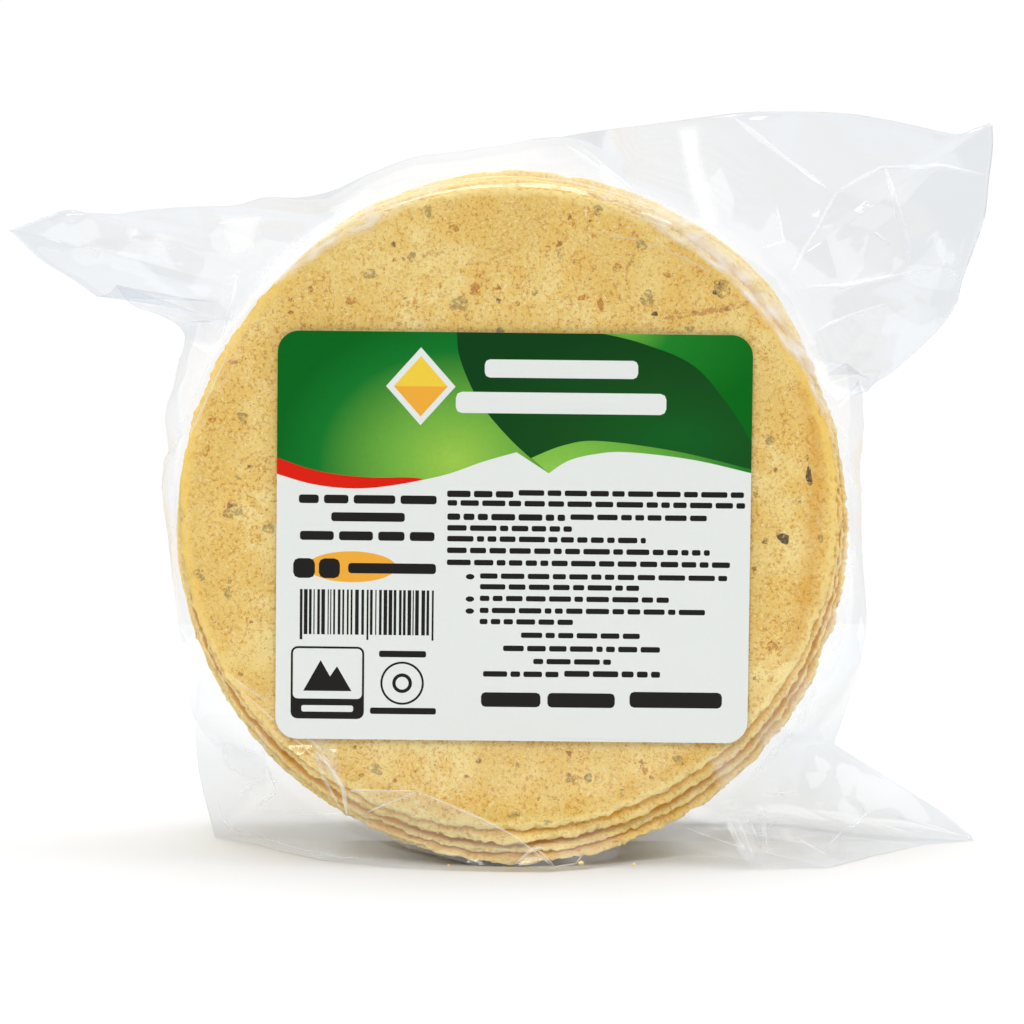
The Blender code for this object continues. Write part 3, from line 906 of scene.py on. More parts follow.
def facet_field(folds, outline, seed, scatter, size):
    """A faceted height over x, z: flat facets between the creases, nothing at the outline and round the stack's front."""
    points, heights, edges = [], [], []

    def put(x, z, h):
        points.append((x, z))
        heights.append(h)
        return len(points) - 1

    ring = [put(x, z, 0.0) for x, z in outline[::7, :2]]
    edges += [(ring[i], ring[(i + 1) % len(ring)]) for i in range(len(ring))]
    taken = []
    for fold in folds:
        last = None
        for x, z, h in fold:
            k = put(x, z, h)
            taken.append((x, z))
            if last is not None:
                edges.append((last, k))
            last = k
    for k in range(46):
        a = 2 * math.pi * k / 46
        for s in (0.93, 0.6):
            x, z = FRONT_RIM[0] + FRONT_RIM[2] * s * math.cos(a), FRONT_RIM[1] + FRONT_RIM[3] * s * math.sin(a)
            if all(math.hypot(x - p, z - q) > 5.0 for p, q in taken):
                put(x, z, 0.0)
    r = np.random.default_rng(seed)
    low, high = outline[:, :2].min(0), outline[:, :2].max(0)
    tries = 0
    while scatter > 0 and tries < 4000:
        tries += 1
        x, z = r.uniform(low[0], high[0]), r.uniform(low[1], high[1])
        if math.hypot((x - RIM[0]) / (RIM[2] + 1.5), (z - RIM[1]) / (RIM[3] + 1.5)) < 1.0:
            continue
        if not inside(np.array([x]), np.array([z]), outline[::3, :2])[0]:
            continue
        if min(np.hypot(outline[:, 0] - x, outline[:, 1] - z)) < 4.0:
            continue
        if any(math.hypot(x - p, z - q) < 6.5 for p, q in taken):
            continue
        taken.append((x, z))
        put(x, z, r.uniform(-size, size))
        scatter -= 1
    got = delaunay_2d_cdt([Vector(p) for p in points], edges, [], 0, 0.01)
    vert, tri, origin = got[0], got[2], got[3]
    hs = []
    for k, names in enumerate(origin):
        if names:
            hs.append(heights[names[0]])
        else:  # a crossing of two creases: take the mean of the nearest two
            near = sorted(range(len(points)), key=lambda i: (points[i][0] - vert[k][0]) ** 2 + (points[i][1] - vert[k][1]) ** 2)[:2]
            hs.append(sum(heights[i] for i in near) / 2)
    return np.array([(p.x, p.y) for p in vert]), np.array(hs), [t for t in tri if len(t) == 3]


def sample_field(field, x, z):
    pts, hs, tris = field
    out = np.zeros(len(x))
    for a, b, c in tris:
        if hs[a] == 0 and hs[b] == 0 and hs[c] == 0:
            continue
        (xa, za), (xb, zb), (xc, zc) = pts[a], pts[b], pts[c]
        box = (
            (x >= min(xa, xb, xc)) & (x <= max(xa, xb, xc)) & (z >= min(za, zb, zc)) & (z <= max(za, zb, zc))
        )
        at = np.nonzero(box)[0]
        if not len(at):
            continue
        det = (zb - zc) * (xa - xc) + (xc - xb) * (za - zc)
        if abs(det) < 1e-9:
            continue
        u = ((zb - zc) * (x[at] - xc) + (xc - xb) * (z[at] - zc)) / det
        v = ((zc - za) * (x[at] - xc) + (xa - xc) * (z[at] - zc)) / det
        w = 1 - u - v
        ok = (u >= -1e-6) & (v >= -1e-6) & (w >= -1e-6)
        out[at[ok]] = u[ok] * hs[a] + v[ok] * hs[b] + w[ok] * hs[c]
    return out


outline = trace_outline()
OX, OZ, OY = outline[:, 0], np.maximum(outline[:, 1], 0.15), outline[:, 2]
ANGLE = np.radians(outline[:, 3])
FLAP_ROWS = 40
DISC = [0.12, 0.3, 0.45, 0.56, 0.64, 0.7, 0.75, 0.79, 0.825, 0.855, 0.88, 0.9, 0.917, 0.934, 0.95, 0.965, 0.978, 0.99, 1.0]


def sheet(side):
    """Rows of points of one sheet, from the middle of its face to the outline."""
    cos, sin = np.cos(ANGLE), np.sin(ANGLE)
    oval = FRONT_RIM if side < 0 else (RIM[0], RIM[1], RIM[2] - 2.0, RIM[3] - 2.0)
    face_y = FRONT_Y if side < 0 else BACK_Y
    rows = []
    for s in DISC:
        rows.append(np.stack([oval[0] + oval[2] * s * cos, np.full(len(cos), face_y), np.maximum(oval[1] + oval[3] * s * sin, 0.15)], 1))
    rx, rz = RIM[0] + (RIM[2] + swell(ANGLE)) * cos, np.maximum(RIM[1] + (RIM[3] + swell(ANGLE)) * sin, 0.15)
    foot = smooth((-sin - 0.35) / 0.6)
    rim_y = FRONT_Y + 1.0 - 3.0 * foot if side < 0 else BACK_Y - 1.0 - 2.5 * foot
    edge_y = OY + side * 0.05
    span = np.hypot(OX - rx, OZ - rz)
    flap = smooth((span - 6.0) / 16.0)
    # share of each line that is on the floor: those that reach the outline there
    on_floor = (outline[:, 1] < 1.0) & (np.abs(outline[:, 3] + 93.5) < 41.0)
    foot_y = interpolate(FRONT_FOOT if side < 0 else BACK_FOOT, OX)
    for k in range(1, FLAP_ROWS + 1):
        v = k / FLAP_ROWS
        box_out = np.sin(np.minimum(1.0, v / 0.25) * np.pi / 2) * np.ones(len(cos))
        box_back = smooth(v / 0.25) * 0.05 + 0.95 * v
        flap_back = 1 - (1 - v) ** 1.4
        out = box_out + (v - box_out) * flap
        back = box_back + (flap_back - box_back) * flap
        x = rx + (OX - rx) * out
        z = rz + (OZ - rz) * out
        y = rim_y + (edge_y - rim_y) * back
        # lines that land on the floor: down to the foot line, then flat to the join
        w = min(1.0, v / 0.72)
        u = max(0.0, (v - 0.72) / 0.28)
        fx, fz = rx + (OX - rx) * w, rz + (0.15 - rz) * w**0.9
        fy = rim_y + (foot_y - rim_y) * w + (edge_y - foot_y) * u
        x = np.where(on_floor, fx, x)
        y = np.where(on_floor, fy, y)
        z = np.where(on_floor, np.maximum(fz, 0.15), z)
        rows.append(np.stack([x, y, z], 1))
    return np.array(rows)


def wobble(x, z, seed, lengths):
    r = np.random.default_rng(seed)
    out = np.zeros_like(x)
    for wave_length, share in lengths:
        for _ in range(4):
            t = r.uniform(0, 6.28)
            p = 2 * np.pi * (x * np.cos(t) + z * np.sin(t)) / (wave_length * r.uniform(0.8, 1.25))
            out += share * 0.5 * np.sin(p + r.uniform(0, 6.28))
    return out


def dress(rows, side):
    """Puts the creases into a sheet."""
    shape = rows.shape
    flat = rows.reshape(-1, 3).copy()
    x, z = flat[:, 0].copy(), flat[:, 2].copy()
    folds = FRONT_FOLDS if side < 0 else random_folds(11, 5, 3.0)
    field = facet_field(folds, outline, 7 if side < 0 else 19, 10 if side < 0 else 26, 1.6)
    height = 1.2 * sample_field(field, x, z)
    height += wobble(x, z, 5 + side, ((34, 0.35), (15, 0.16))) * smooth(
        (np.hypot((x - RIM[0]) / RIM[2], (z - RIM[1]) / RIM[3]) - 0.99) / 0.12
    )
    # nothing at the join, and nothing on the steep wrapped sides
    row = np.repeat(np.arange(shape[0]), shape[1])
    v = np.clip((row - len(DISC) + 1) / FLAP_ROWS, 0, 1)
    span = np.tile(np.hypot(OX - (RIM[0] + RIM[2] * np.cos(ANGLE)), OZ - (RIM[1] + RIM[3] * np.sin(ANGLE))), shape[0])
    loose = np.where(v > 0, smooth((span - 3.0) / 10.0), 1.0)
    close = np.clip((1 - v) / 0.10, 0, 1)
    height *= loose * close
    # film lying on a tortilla can only stand away from it
    on_face = v <= 0
    height = np.where(on_face, np.maximum(height, 0.0), height)
    if side < 0:  # and it's flat under the label
        away = np.maximum(
            np.abs(x - (label_low.x + label_high.x) / 2 / MM) - 54.6, np.abs(z - (label_low.z + label_high.z) / 2 / MM) - 47.4
        )
        height *= smooth((away - 0.8) / 2.5)
    flat[:, 1] += side * height
    # narrow pleats across the wrapped sides, where the film is gathered
    a = np.tile(ANGLE, shape[0])
    pleat = np.zeros(len(a))
    r = np.random.default_rng(31 + side)
    for _ in range(90):
        at, width, high = r.uniform(-2 * np.pi + 0.7, 0.7), r.uniform(0.006, 0.03), r.uniform(0.1, 0.4)
        lean = r.uniform(-0.12, 0.12)
        gap = np.abs(a - at - lean * v)
        pleat += high * np.clip(1 - gap / width, 0, 1)
    tight = (1 - smooth((span - 4.0) / 12.0)) * np.sin(np.pi * np.clip(v * 1.02, 0, 1)) * (v > 0)
    flat[:, 0] += pleat * tight * np.cos(a)
    flat[:, 2] += pleat * tight * np.sin(a) * (flat[:, 2] > 2.0)
    flat[:, 2] = np.maximum(flat[:, 2], 0.12)
    return flat.reshape(shape)


front_rows = dress(sheet(-1), -1)
back_rows = dress(sheet(1), 1)


def film_mesh():
    """Both sheets as one bag, joined along the outline."""
    count = len(outline)
    rows = len(DISC) + FLAP_ROWS
    front = front_rows.reshape(-1, 3)
    back = back_rows[:-1].reshape(-1, 3)  # the last row is shared with the front sheet
    centre_front = [[FRONT_RIM[0], FRONT_Y, FRONT_RIM[1]]]
    centre_back = [[RIM[0], BACK_Y, RIM[1]]]
    verts = np.concatenate([front, back, centre_front, centre_back])
    idx = np.arange(count)
    nxt = (idx + 1) % count
    faces = []
    for k in range(rows - 1):
        a, b = k * count, (k + 1) * count
        # clockwise outline seen from the front: this order faces the front sheet forward
        faces.append(np.stack([a + idx, b + idx, b + nxt, a + nxt], 1)[:, ::-1])
    off = rows * count
    for k in range(rows - 1):
        a = off + k * count
        b = off + (k + 1) * count if k < rows - 2 else (rows - 1) * count
        faces.append(np.stack([a + idx, b + idx, b + nxt, a + nxt], 1))
    quads = np.concatenate(faces)
    cf, cb = len(verts) - 2, len(verts) - 1
    tris = [(cf, int(i), int(nxt[i])) for i in idx] + [(cb, off + int(nxt[i]), off + int(i)) for i in idx]
    return verts, [tuple(map(int, f)) for f in quads] + tris


def film_marks(rows, side):
    """How thin (stretched, clear) the film is at each point, where it has a painted white sheen that stands for fine
    wrinkles, a painted shadow, and where its mirror sheen is cut down.
    """
    x, z = rows[:, :, 0], rows[:, :, 2]
    k = np.arange(len(rows))[:, None]
    v = np.clip((k - len(DISC) + 1) / FLAP_ROWS, 0, 1)
    span = np.hypot(OX - (RIM[0] + RIM[2] * np.cos(ANGLE)), OZ - np.maximum(RIM[1] + RIM[3] * np.sin(ANGLE), 0.15))[None, :]
    thin = 1 - smooth(v * span / 2.8) * smooth((span - 4.0) / 9.0)
    painted_sheen = np.zeros_like(x)
    if side < 0:
        # painted sheen in streaked bands along the front tortilla's edge
        angle = np.degrees(ANGLE)[None, :] * np.ones_like(x)
        angle = (angle + 180.0) % 360.0 - 180.0
        past = inside_edge(x, z, FRONT_RIM)
        streak = 0.5 + 0.5 * wobble(angle * 0.9 + past * 4.0, past * 7.0, 8, ((9.0, 0.6), (3.5, 0.4)))
        at = [f[0] for f in RIM_SHEEN_BANDS]
        strength = np.interp(angle, at, [f[1] for f in RIM_SHEEN_BANDS])
        inner = np.interp(angle, at, [f[2] for f in RIM_SHEEN_BANDS])
        outer = np.interp(angle, at, [f[3] for f in RIM_SHEEN_BANDS])
        band = smooth((past - inner) / 0.8) * (1 - smooth((past - outer) / 1.5))
        painted_sheen = strength * band * np.clip(streak, 0.25, 1.0) * (v < 0.7)
        # painted highlights: listed patches of the front sheet are painted white
        for loop, bright in SHEENS:
            lit = inside(x.ravel(), z.ravel(), loop).reshape(x.shape)
            near = away_from_line(x.ravel(), z.ravel(), loop + loop[:1]).reshape(x.shape)
            painted_sheen = np.maximum(painted_sheen, 0.55 * bright * lit * smooth(near / 1.8) * (v < 0.98))
    shade = np.zeros_like(x)
    if side > 0:
        # a milder painted sheen round the back sheet's rim
        past = inside_edge(x, z, (RIM[0], RIM[1], RIM[2] - 2.0, RIM[3] - 2.0))
        streak = 0.5 + 0.5 * wobble(x * 0.8, z * 0.8, 12, ((14.0, 0.6), (5.0, 0.4)))
        painted_sheen = 0.38 * smooth((past + 0.8) / 1.2) * (1 - smooth((past - 2.0) / 1.8)) * np.clip(streak, 0, 1) * (v < 0.7)
    if side < 0:
        floor_run = (outline[:, 1] < 1.0) & (np.abs(outline[:, 3] + 93.5) < 41.0)
        # painted shadow under the front of the stack, reaching farther to the right; painted sheen on the skirt at left
        # and right
        across = np.clip(1 - np.maximum(-(OX - 2.0) / 31.0, (OX - 2.0) / 58.0), 0, 1)
        skirt_sheen = np.exp(-(((OX + 40.0) / 20.0) ** 2)) + 0.8 * np.exp(-(((OX - 52.0) / 16.0) ** 2))
        painted_sheen = np.maximum(painted_sheen, 0.15 * floor_run[None, :] * skirt_sheen[None, :] * smooth((v - 0.02) / 0.1) * (1 - smooth((v - 0.62) / 0.1)))
        shade = floor_run[None, :] * across[None, :] * smooth((v - 0.03) / 0.12) * (1 - smooth((v - 0.60) / 0.14)) * (z < 9)
    if side < 0:  # the skirt in front lies flat and clear
        thin = np.maximum(thin, 0.75 * floor_run[None, :] * smooth((v - 0.02) / 0.1) * np.ones_like(x))
    # where the mirror sheen is cut down: round the foot in front of the stack
    sheen_cut = smooth((19.0 - z) / 6.0) * smooth((46.0 - np.abs(x - 2.0)) / 12.0) * (side < 0)
    return thin.ravel(), painted_sheen.ravel(), shade.ravel(), sheen_cut.ravel()


# painted sheen along the front tortilla's edge: angle round the front (0 right, 90 up), strength, and from where to
# where past the front tortilla's edge
RIM_SHEEN_BANDS = [
    (-180.0, 0.30, 0.6, 1.6),
    (-150.0, 0.10, 0.6, 2.0),
    (-125.0, 0.0, 0.6, 2.0),
    (-75.0, 0.0, 1.0, 4.0),
    (-58.0, 0.20, 2.6, 6.0),
    (-44.0, 0.42, 2.6, 8.5),
    (-30.0, 0.50, 1.6, 7.5),
    (-12.0, 0.45, 0.9, 4.6),
    (2.0, 0.42, 0.2, 3.0),
    (14.0, 0.55, -0.6, 2.6),
    (26.0, 0.72, -1.8, 3.0),
    (36.0, 0.80, -2.8, 3.4),
    (60.0, 0.78, -2.4, 3.2),
    (70.0, 0.50, -1.0, 2.8),
    (84.0, 0.28, 0.2, 2.6),
    (100.0, 0.28, 0.0, 2.4),
    (109.0, 0.45, -1.6, 2.4),
    (115.0, 0.66, -3.0, 2.8),
    (131.0, 0.66, -2.4, 2.6),
    (138.0, 0.35, -0.2, 1.8),
    (160.0, 0.35, 0.6, 1.6),
    (180.0, 0.30, 0.6, 1.6),
]
# painted highlights: flat patches of film painted white where they would catch the light, as loops of x, z, and how
# bright
SHEENS = [
    ([(41.0, 170.6), (46.8, 171.6), (47.6, 163.0), (50.4, 151.5), (46.6, 147.0), (43.2, 156.0)], 0.62),
    ([(47.0, 152.5), (51.4, 154.6), (49.8, 146.4), (47.8, 142.2)], 0.45),
    ([(88.4, 163.8), (90.2, 161.2), (93.8, 148.4), (96.8, 137.4), (92.4, 149.6)], 0.62),
    ([(102.2, 142.4), (106.6, 135.2), (108.4, 134.4), (104.4, 137.2), (100.8, 137.6)], 0.70),
    ([(69.7, 135.4), (84.0, 136.0), (100.8, 137.8), (84.0, 133.8), (69.7, 133.6)], 0.40),
    ([(72.0, 126.0), (90.6, 130.6), (97.0, 133.0), (88.0, 124.0), (80.6, 115.4), (74.0, 119.0)], 0.34),
    ([(-97.6, 145.4), (-92.0, 142.6), (-93.8, 138.8), (-97.0, 140.2)], 0.55),
    ([(-81.0, 147.2), (-76.2, 145.6), (-78.2, 138.8), (-82.6, 141.0)], 0.40),
    ([(-66.2, 150.4), (-55.2, 150.6), (-57.0, 142.4), (-63.0, 140.6)], 0.45),
    ([(-66.0, 122.0), (-62.2, 131.0), (-59.4, 139.8), (-62.8, 138.0), (-68.4, 124.0)], 0.40),
    ([(-65.9, 29.0), (-53.2, 27.4), (-54.4, 17.2), (-61.0, 16.2), (-66.8, 19.4)], 0.50),
    ([(-46.0, 36.0), (-38.0, 29.4), (-35.0, 18.8), (-38.6, 19.6), (-43.0, 27.0), (-49.0, 33.0)], 0.32),
    ([(53.0, 18.0), (57.6, 13.8), (61.8, 1.4), (56.4, 0.8), (52.2, 10.0)], 0.42),
    ([(62.6, 16.6), (69.0, 15.4), (78.0, 12.4), (74.0, 5.0), (66.0, 4.0), (63.6, 9.0)], 0.30),
    ([(47.0, 25.6), (56.0, 30.6), (60.6, 24.0), (53.0, 18.6)], 0.34),
    ([(59.6, 15.0), (62.6, 11.0), (63.4, 1.6), (60.8, 3.4)], 0.45),
    ([(0.0, 0.4), (8.0, 5.6), (13.0, 0.6)], 0.5),
    ([(10.0, 0.4), (15.0, 4.4), (30.0, 5.4), (27.0, 0.6)], 0.42),
]
verts, faces = film_mesh()
film = mesh_object("film_bag", verts, faces, FILM)
marks = [film_marks(front_rows, -1), film_marks(back_rows[:-1], 1)]
add_mark(film, "thin", np.concatenate([marks[0][0], marks[1][0], [1.0, 1.0]]))
add_mark(film, "painted_sheen", np.concatenate([marks[0][1], marks[1][1], [0.0, 0.0]]))
add_mark(film, "shade", np.concatenate([marks[0][2], marks[1][2], [0.0, 0.0]]))
add_mark(film, "sheen_cut", np.concatenate([marks[0][3], marks[1][3], [0.0, 0.0]]))
film_bm = bmesh.new()
film_bm.from_mesh(film.data)
bmesh.ops.recalc_face_normals(film_bm, faces=film_bm.faces)
film_bm.to_mesh(film.data)
film_bm.free()
film.data.shade_smooth()


# sharp pinched creases stand up from the sheet as narrow ridges
film_tree = BVHTree.FromPolygons([tuple(p) for p in verts], faces)


def on_film(x, z, side=-1):
    """The film's point and outward normal at this place, seen from the front or the back."""
    hit = film_tree.ray_cast(Vector((x, side * 200.0, z)), Vector((0, -side, 0)))
    if hit[0] is None:
        return None
    normal = hit[1].normalized()
    if normal.y * side < 0:
        normal = -normal
    return hit[0], normal


def ridge(points, width, high, side=-1, seed=0):
    """A tapered, rounded ridge along a line on the film: verts and faces."""
    line = []
    for (x0, z0), (x1, z1) in zip(points, points[1:]):
        steps = max(2, int(math.hypot(x1 - x0, z1 - z0) / 0.8))
        line += [(x0 + (x1 - x0) * k / steps, z0 + (z1 - z0) * k / steps) for k in range(steps)]
    line.append(points[-1])
    verts, faces = [], []
    total = len(line)
    for k, (x, z) in enumerate(line):
        got = on_film(x, z, side)
        if got is None:
            continue
        place, normal = got
        a = line[max(k - 1, 0)]
        b = line[min(k + 1, total - 1)]
        along = Vector((b[0] - a[0], 0, b[1] - a[1])).normalized()
        across = normal.cross(along).normalized()
        t = k / max(1, total - 1)
        size = (min(1.0, t / 0.2, (1 - t) / 0.2) ** 0.7) * (0.8 + 0.2 * math.sin(k * 0.23 + seed))
        w, h = width * size / 2 + 0.02, high * size + 0.02
        start = len(verts)
        for u, up in ((1.0, 0.0), (0.55, 0.6), (0.0, 1.0), (-0.55, 0.6), (-1.0, 0.0)):
            verts.append(place + across * w * u + normal * (h * up + 0.02))
        if start >= 5:
            for m in range(4):
                faces.append((start - 5 + m, start - 4 + m, start + 1 + m, start + m))
    return [tuple(v) for v in verts], faces


CREASES = [  # line, width, height
    ([(54.5, 173.1), (64.5, 165.3), (76.4, 156.6)], 0.9, 0.35),
    ([(78.5, 156.1), (89.3, 161.3), (103.4, 161.4), (115.0, 159.0)], 0.8, 0.3),
    ([(78.5, 156.1), (74.1, 148.3), (69.8, 141.9), (67.1, 137.2)], 0.7, 0.3),
    ([(90.0, 161.8), (92.9, 151.4), (95.9, 139.3)], 1.1, 0.5),
    ([(87.1, 146.7), (91.2, 143.3)], 0.9, 0.4),
    ([(69.7, 134.8), (79.3, 134.5), (91.1, 136.2), (104.7, 137.5)], 0.8, 0.35),
    ([(104.7, 137.5), (108.1, 134.1)], 1.1, 0.5),
    ([(73.2, 124.6), (81.6, 127.6), (90.6, 130.0)], 0.8, 0.3),
    ([(64.1, 152.8), (65.7, 145.0), (60.2, 143.6)], 0.6, 0.25),
    ([(15.4, 167.2), (23.3, 161.8), (30.5, 156.1)], 1.2, 0.4),
    ([(18.0, 167.6), (26.0, 160.9), (31.5, 156.4)], 0.7, 0.3),
    ([(-66.7, 148.3), (-60.9, 148.8), (-55.0, 149.8)], 0.8, 0.3),
    ([(-108.7, 142.0), (-102.4, 141.6)], 0.7, 0.3),
    ([(-84.9, 147.2), (-86.5, 144.5)], 0.8, 0.4),
    ([(-60.2, 138.9), (-62.0, 131.6), (-64.2, 123.1), (-69.8, 110.4), (-76.0, 96.8)], 0.9, 0.45),
    ([(-62.6, 120.0), (-66.4, 112.0), (-71.5, 101.0)], 0.5, 0.25),
    ([(-62.6, 44.9), (-54.2, 39.0)], 0.5, 0.25),
    ([(-60.4, 41.9), (-53.4, 35.4), (-43.7, 26.6), (-36.5, 19.0)], 0.45, 0.25),
    ([(-48.0, 32.0), (-43.7, 29.6), (-41.0, 26.9)], 0.6, 0.3),
    ([(-43.0, 27.5), (-40.0, 24.5), (-36.3, 18.8), (-35.6, 12.7)], 1.2, 0.6),
    ([(-43.0, 27.5), (-40.8, 20.5), (-36.4, 13.2)], 0.7, 0.35),
    ([(-62.0, 12.5), (-56.0, 19.0), (-50.6, 19.8)], 0.5, 0.25),
    ([(-54.5, 24.5), (-52.1, 17.1), (-57.3, 11.7)], 0.9, 0.35),
    ([(-58.5, 10.2), (-47.0, 12.6), (-36.0, 12.9)], 0.45, 0.2),
    ([(-67.8, 10.0), (-66.5, 4.8), (-61.0, 2.8), (-44.0, 1.9), (-28.0, 1.6)], 0.45, 0.2),
    ([(52.4, 11.4), (56.7, 3.4)], 1.3, 0.6),
    ([(54.4, 12.4), (58.8, 3.2)], 0.6, 0.3),
    ([(60.7, 13.6), (62.1, 4.0)], 1.2, 0.5),
    ([(58.0, 10.8), (60.6, 4.6)], 0.5, 0.25),
    ([(62.6, 8.2), (66.2, 11.6)], 0.6, 0.3),
    ([(68.5, 5.8), (76.9, 1.6)], 0.7, 0.35),
    ([(85.2, 11.1), (86.7, 8.6), (76.0, 3.0)], 0.7, 0.35),
    ([(62.0, 16.6), (66.5, 15.4), (69.5, 15.3)], 0.6, 0.3),
]
crease_verts, crease_faces = [], []
for k, (line, width, high) in enumerate(CREASES):
    soft = 1.8 if line[0][1] > 110 else 1.35
    v, f = ridge(line, soft * width, (0.55 if width < 0.61 else 0.8) * high, -1, k)
    crease_faces += [tuple(i + len(crease_verts) for i in q) for q in f]
    crease_verts += v
creases = mesh_object("film_creases", crease_verts, crease_faces, CREASE)

# a fold of spare film lying over the lower left of the front: a doubled flap with its folded edge upwards
TUCKS = [
    [(-35.4, 18.4), (-19.2, 18.0), (-31.4, 13.0), (-35.6, 12.6)],
    [(-19.2, 18.0), (-6.0, 12.2), (3.2, 7.6), (12.4, 0.6), (-6.0, 1.0), (-22.0, 5.2), (-35.0, 12.2), (-31.4, 13.0)],
]
tuck_verts, tuck_faces = [], []
for which, loop in enumerate(TUCKS):
    pts, edges = [], []
    for i in range(len(loop)):
        (x0, z0), (x1, z1) = loop[i], loop[(i + 1) % len(loop)]
        steps = max(1, int(math.hypot(x1 - x0, z1 - z0) / 1.2))
        for k in range(steps):
            pts.append((x0 + (x1 - x0) * k / steps, z0 + (z1 - z0) * k / steps))
    edges = [(i, (i + 1) % len(pts)) for i in range(len(pts))]
    border = list(pts)
    xs, zs = [p[0] for p in pts], [p[1] for p in pts]
    for x in np.arange(min(xs), max(xs), 1.3):
        for z in np.arange(min(zs), max(zs), 1.3):
            if inside(np.array([x]), np.array([z]), loop)[0] and min(math.hypot(x - p, z - q) for p, q in border) > 0.7:
                pts.append((float(x), float(z)))
    vert, _, tri, _, _, _ = delaunay_2d_cdt([Vector(p) for p in pts], edges, [], 1, 1e-3)
    start = len(tuck_verts)
    for p in vert:
        got = on_film(p.x, p.y)
        y = got[0].y if got else FRONT_Y
        top = 18.2 - 0.62 * (p.x + 19.0) if p.x > -19 else 18.2
        rise = 0.55 + (0.5 if which else 0.9) * max(0.0, 1 - abs(top - p.y) / 4.0) + 0.25 * math.sin(0.5 * p.x + 0.8 * p.y)
        tuck_verts.append((p.x, y - rise, p.y))
    tuck_faces += [tuple(i + start for i in t) for t in tri]
tuck = mesh_object("film_tuck", tuck_verts, tuck_faces, TUCK)
v, f = [], []
for k, (line, width, high) in enumerate(
    [
        ([(-35.4, 18.4), (-19.2, 18.0)], 0.6, 0.25),
        ([(-19.2, 18.0), (-31.4, 13.0)], 0.6, 0.25),
        ([(-19.2, 18.0), (-6.0, 12.2), (3.2, 7.6), (12.4, 0.6)], 0.75, 0.3),
        ([(-43.0, 27.5), (-40.0, 24.5), (-36.3, 18.8), (-35.6, 12.7)], 0.9, 0.4),
        ([(3.4, 1.2), (7.6, 4.6), (10.4, 5.2)], 0.8, 0.35),
        ([(8.2, 4.9), (12.6, 0.9)], 0.6, 0.3),
        ([(12.6, 0.9), (17.5, 1.5), (19.5, 3.8)], 0.5, 0.2),
        ([(4.6, 2.4), (9.8, 2.8)], 0.5, 0.2),
    ]
):
    a, b = ridge(line, width, high, -1, 90 + k)
    f += [tuple(i + len(v) for i in q) for q in b]
    v += [(p[0], p[1] - 1.15, p[2]) for p in a]
tuck_edge = mesh_object("film_tuck_edge", v, f, BRIGHT)

pieces = [front, stepped, stack, crumbs, hulls, browns, darks, crack, dent_shade, film, creases, tuck, tuck_edge]

# ------------------------------------------------------------------ label ----
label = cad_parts["label"]


def label_place(u, v, lift=0.0):
    """Label's own millimetres (u right, v down from the top left corner) to the row frame."""
    cx, cz = (label_low.x + label_high.x) / 2 / MM, (label_low.z + label_high.z) / 2 / MM
    turn = math.radians(-0.62)
    du, dw = u - LABEL_W / 2, LABEL_H / 2 - v
    return (
        cx + du * math.cos(turn) - dw * math.sin(turn),
        LABEL_FRONT_Y - lift,
        cz + du * math.sin(turn) + dw * math.cos(turn),
    )


LABEL_W, LABEL_H = 109.4, 94.8


def rounded(u0, v0, u1, v1, r, steps=5):
    r = min(r, (u1 - u0) / 2 - 1e-3, (v1 - v0) / 2 - 1e-3)
    out = []
    for cu, cv, start in ((u1 - r, v0 + r, -90), (u1 - r, v1 - r, 0), (u0 + r, v1 - r, 90), (u0 + r, v0 + r, 180)):
        for k in range(steps + 1):
            a = math.radians(start + 90 * k / steps)
            out.append((cu + r * math.cos(a), cv + r * math.sin(a)))
    return out


def ellipse(cu, cv, ru, rv, steps=40):
    return [(cu + ru * math.cos(2 * math.pi * k / steps), cv + rv * math.sin(2 * math.pi * k / steps)) for k in range(steps)]


def spline(points, steps=8):
    """A smooth run through points, ends included."""
    p = [np.array(points[0])] + [np.array(q) for q in points] + [np.array(points[-1])]
    out = []
    for i in range(1, len(p) - 2):
        for k in range(steps):
            t = k / steps
            c = 0.5 * (
                2 * p[i] + (p[i + 1] - p[i - 1]) * t + (2 * p[i - 1] - 5 * p[i] + 4 * p[i + 1] - p[i + 2]) * t * t
                + (3 * p[i] - p[i - 1] - 3 * p[i + 1] + p[i + 2]) * t**3
            )
            out.append((float(c[0]), float(c[1])))
    out.append(tuple(map(float, points[-1])))
    return out


EDGE = 0.0
header_low = spline([(0.0, 33.2), (8.3, 35.5), (17.6, 36.4), (26.6, 35.6), (38.5, 33.1), (47.5, 29.9), (55.2, 27.6)])
leaf_left = spline([(41.2, 0.0), (42.0, 6.2), (46.5, 16.0), (54.1, 25.0), (62.7, 32.4)])
leaf_right = spline([(74.8, 0.0), (84.0, 2.2), (95.8, 7.2), (104.6, 17.2), (109.4, 24.8)])
lime_low = spline([(62.7, 32.4), (67.1, 29.5), (73.0, 27.9), (80.7, 27.3), (95.7, 28.9), (109.4, 31.9)])
dark_low = spline([(58.6, 28.9), (66.0, 25.9), (74.4, 24.8), (92.0, 27.0), (109.4, 31.0)])
red_low = header_low[:33]
red_top = spline([(0.0, 29.4), (7.0, 31.8), (14.0, 33.2), (22.0, 33.8), (30.0, 33.7), (34.0, 34.0)])

outline_label = rounded(0.0, 0.0, LABEL_W, LABEL_H, 5.0, 8)
REGIONS = []  # (polygon, colour name), later ones on top


def region(polygon, name):
    REGIONS.append((polygon, name))


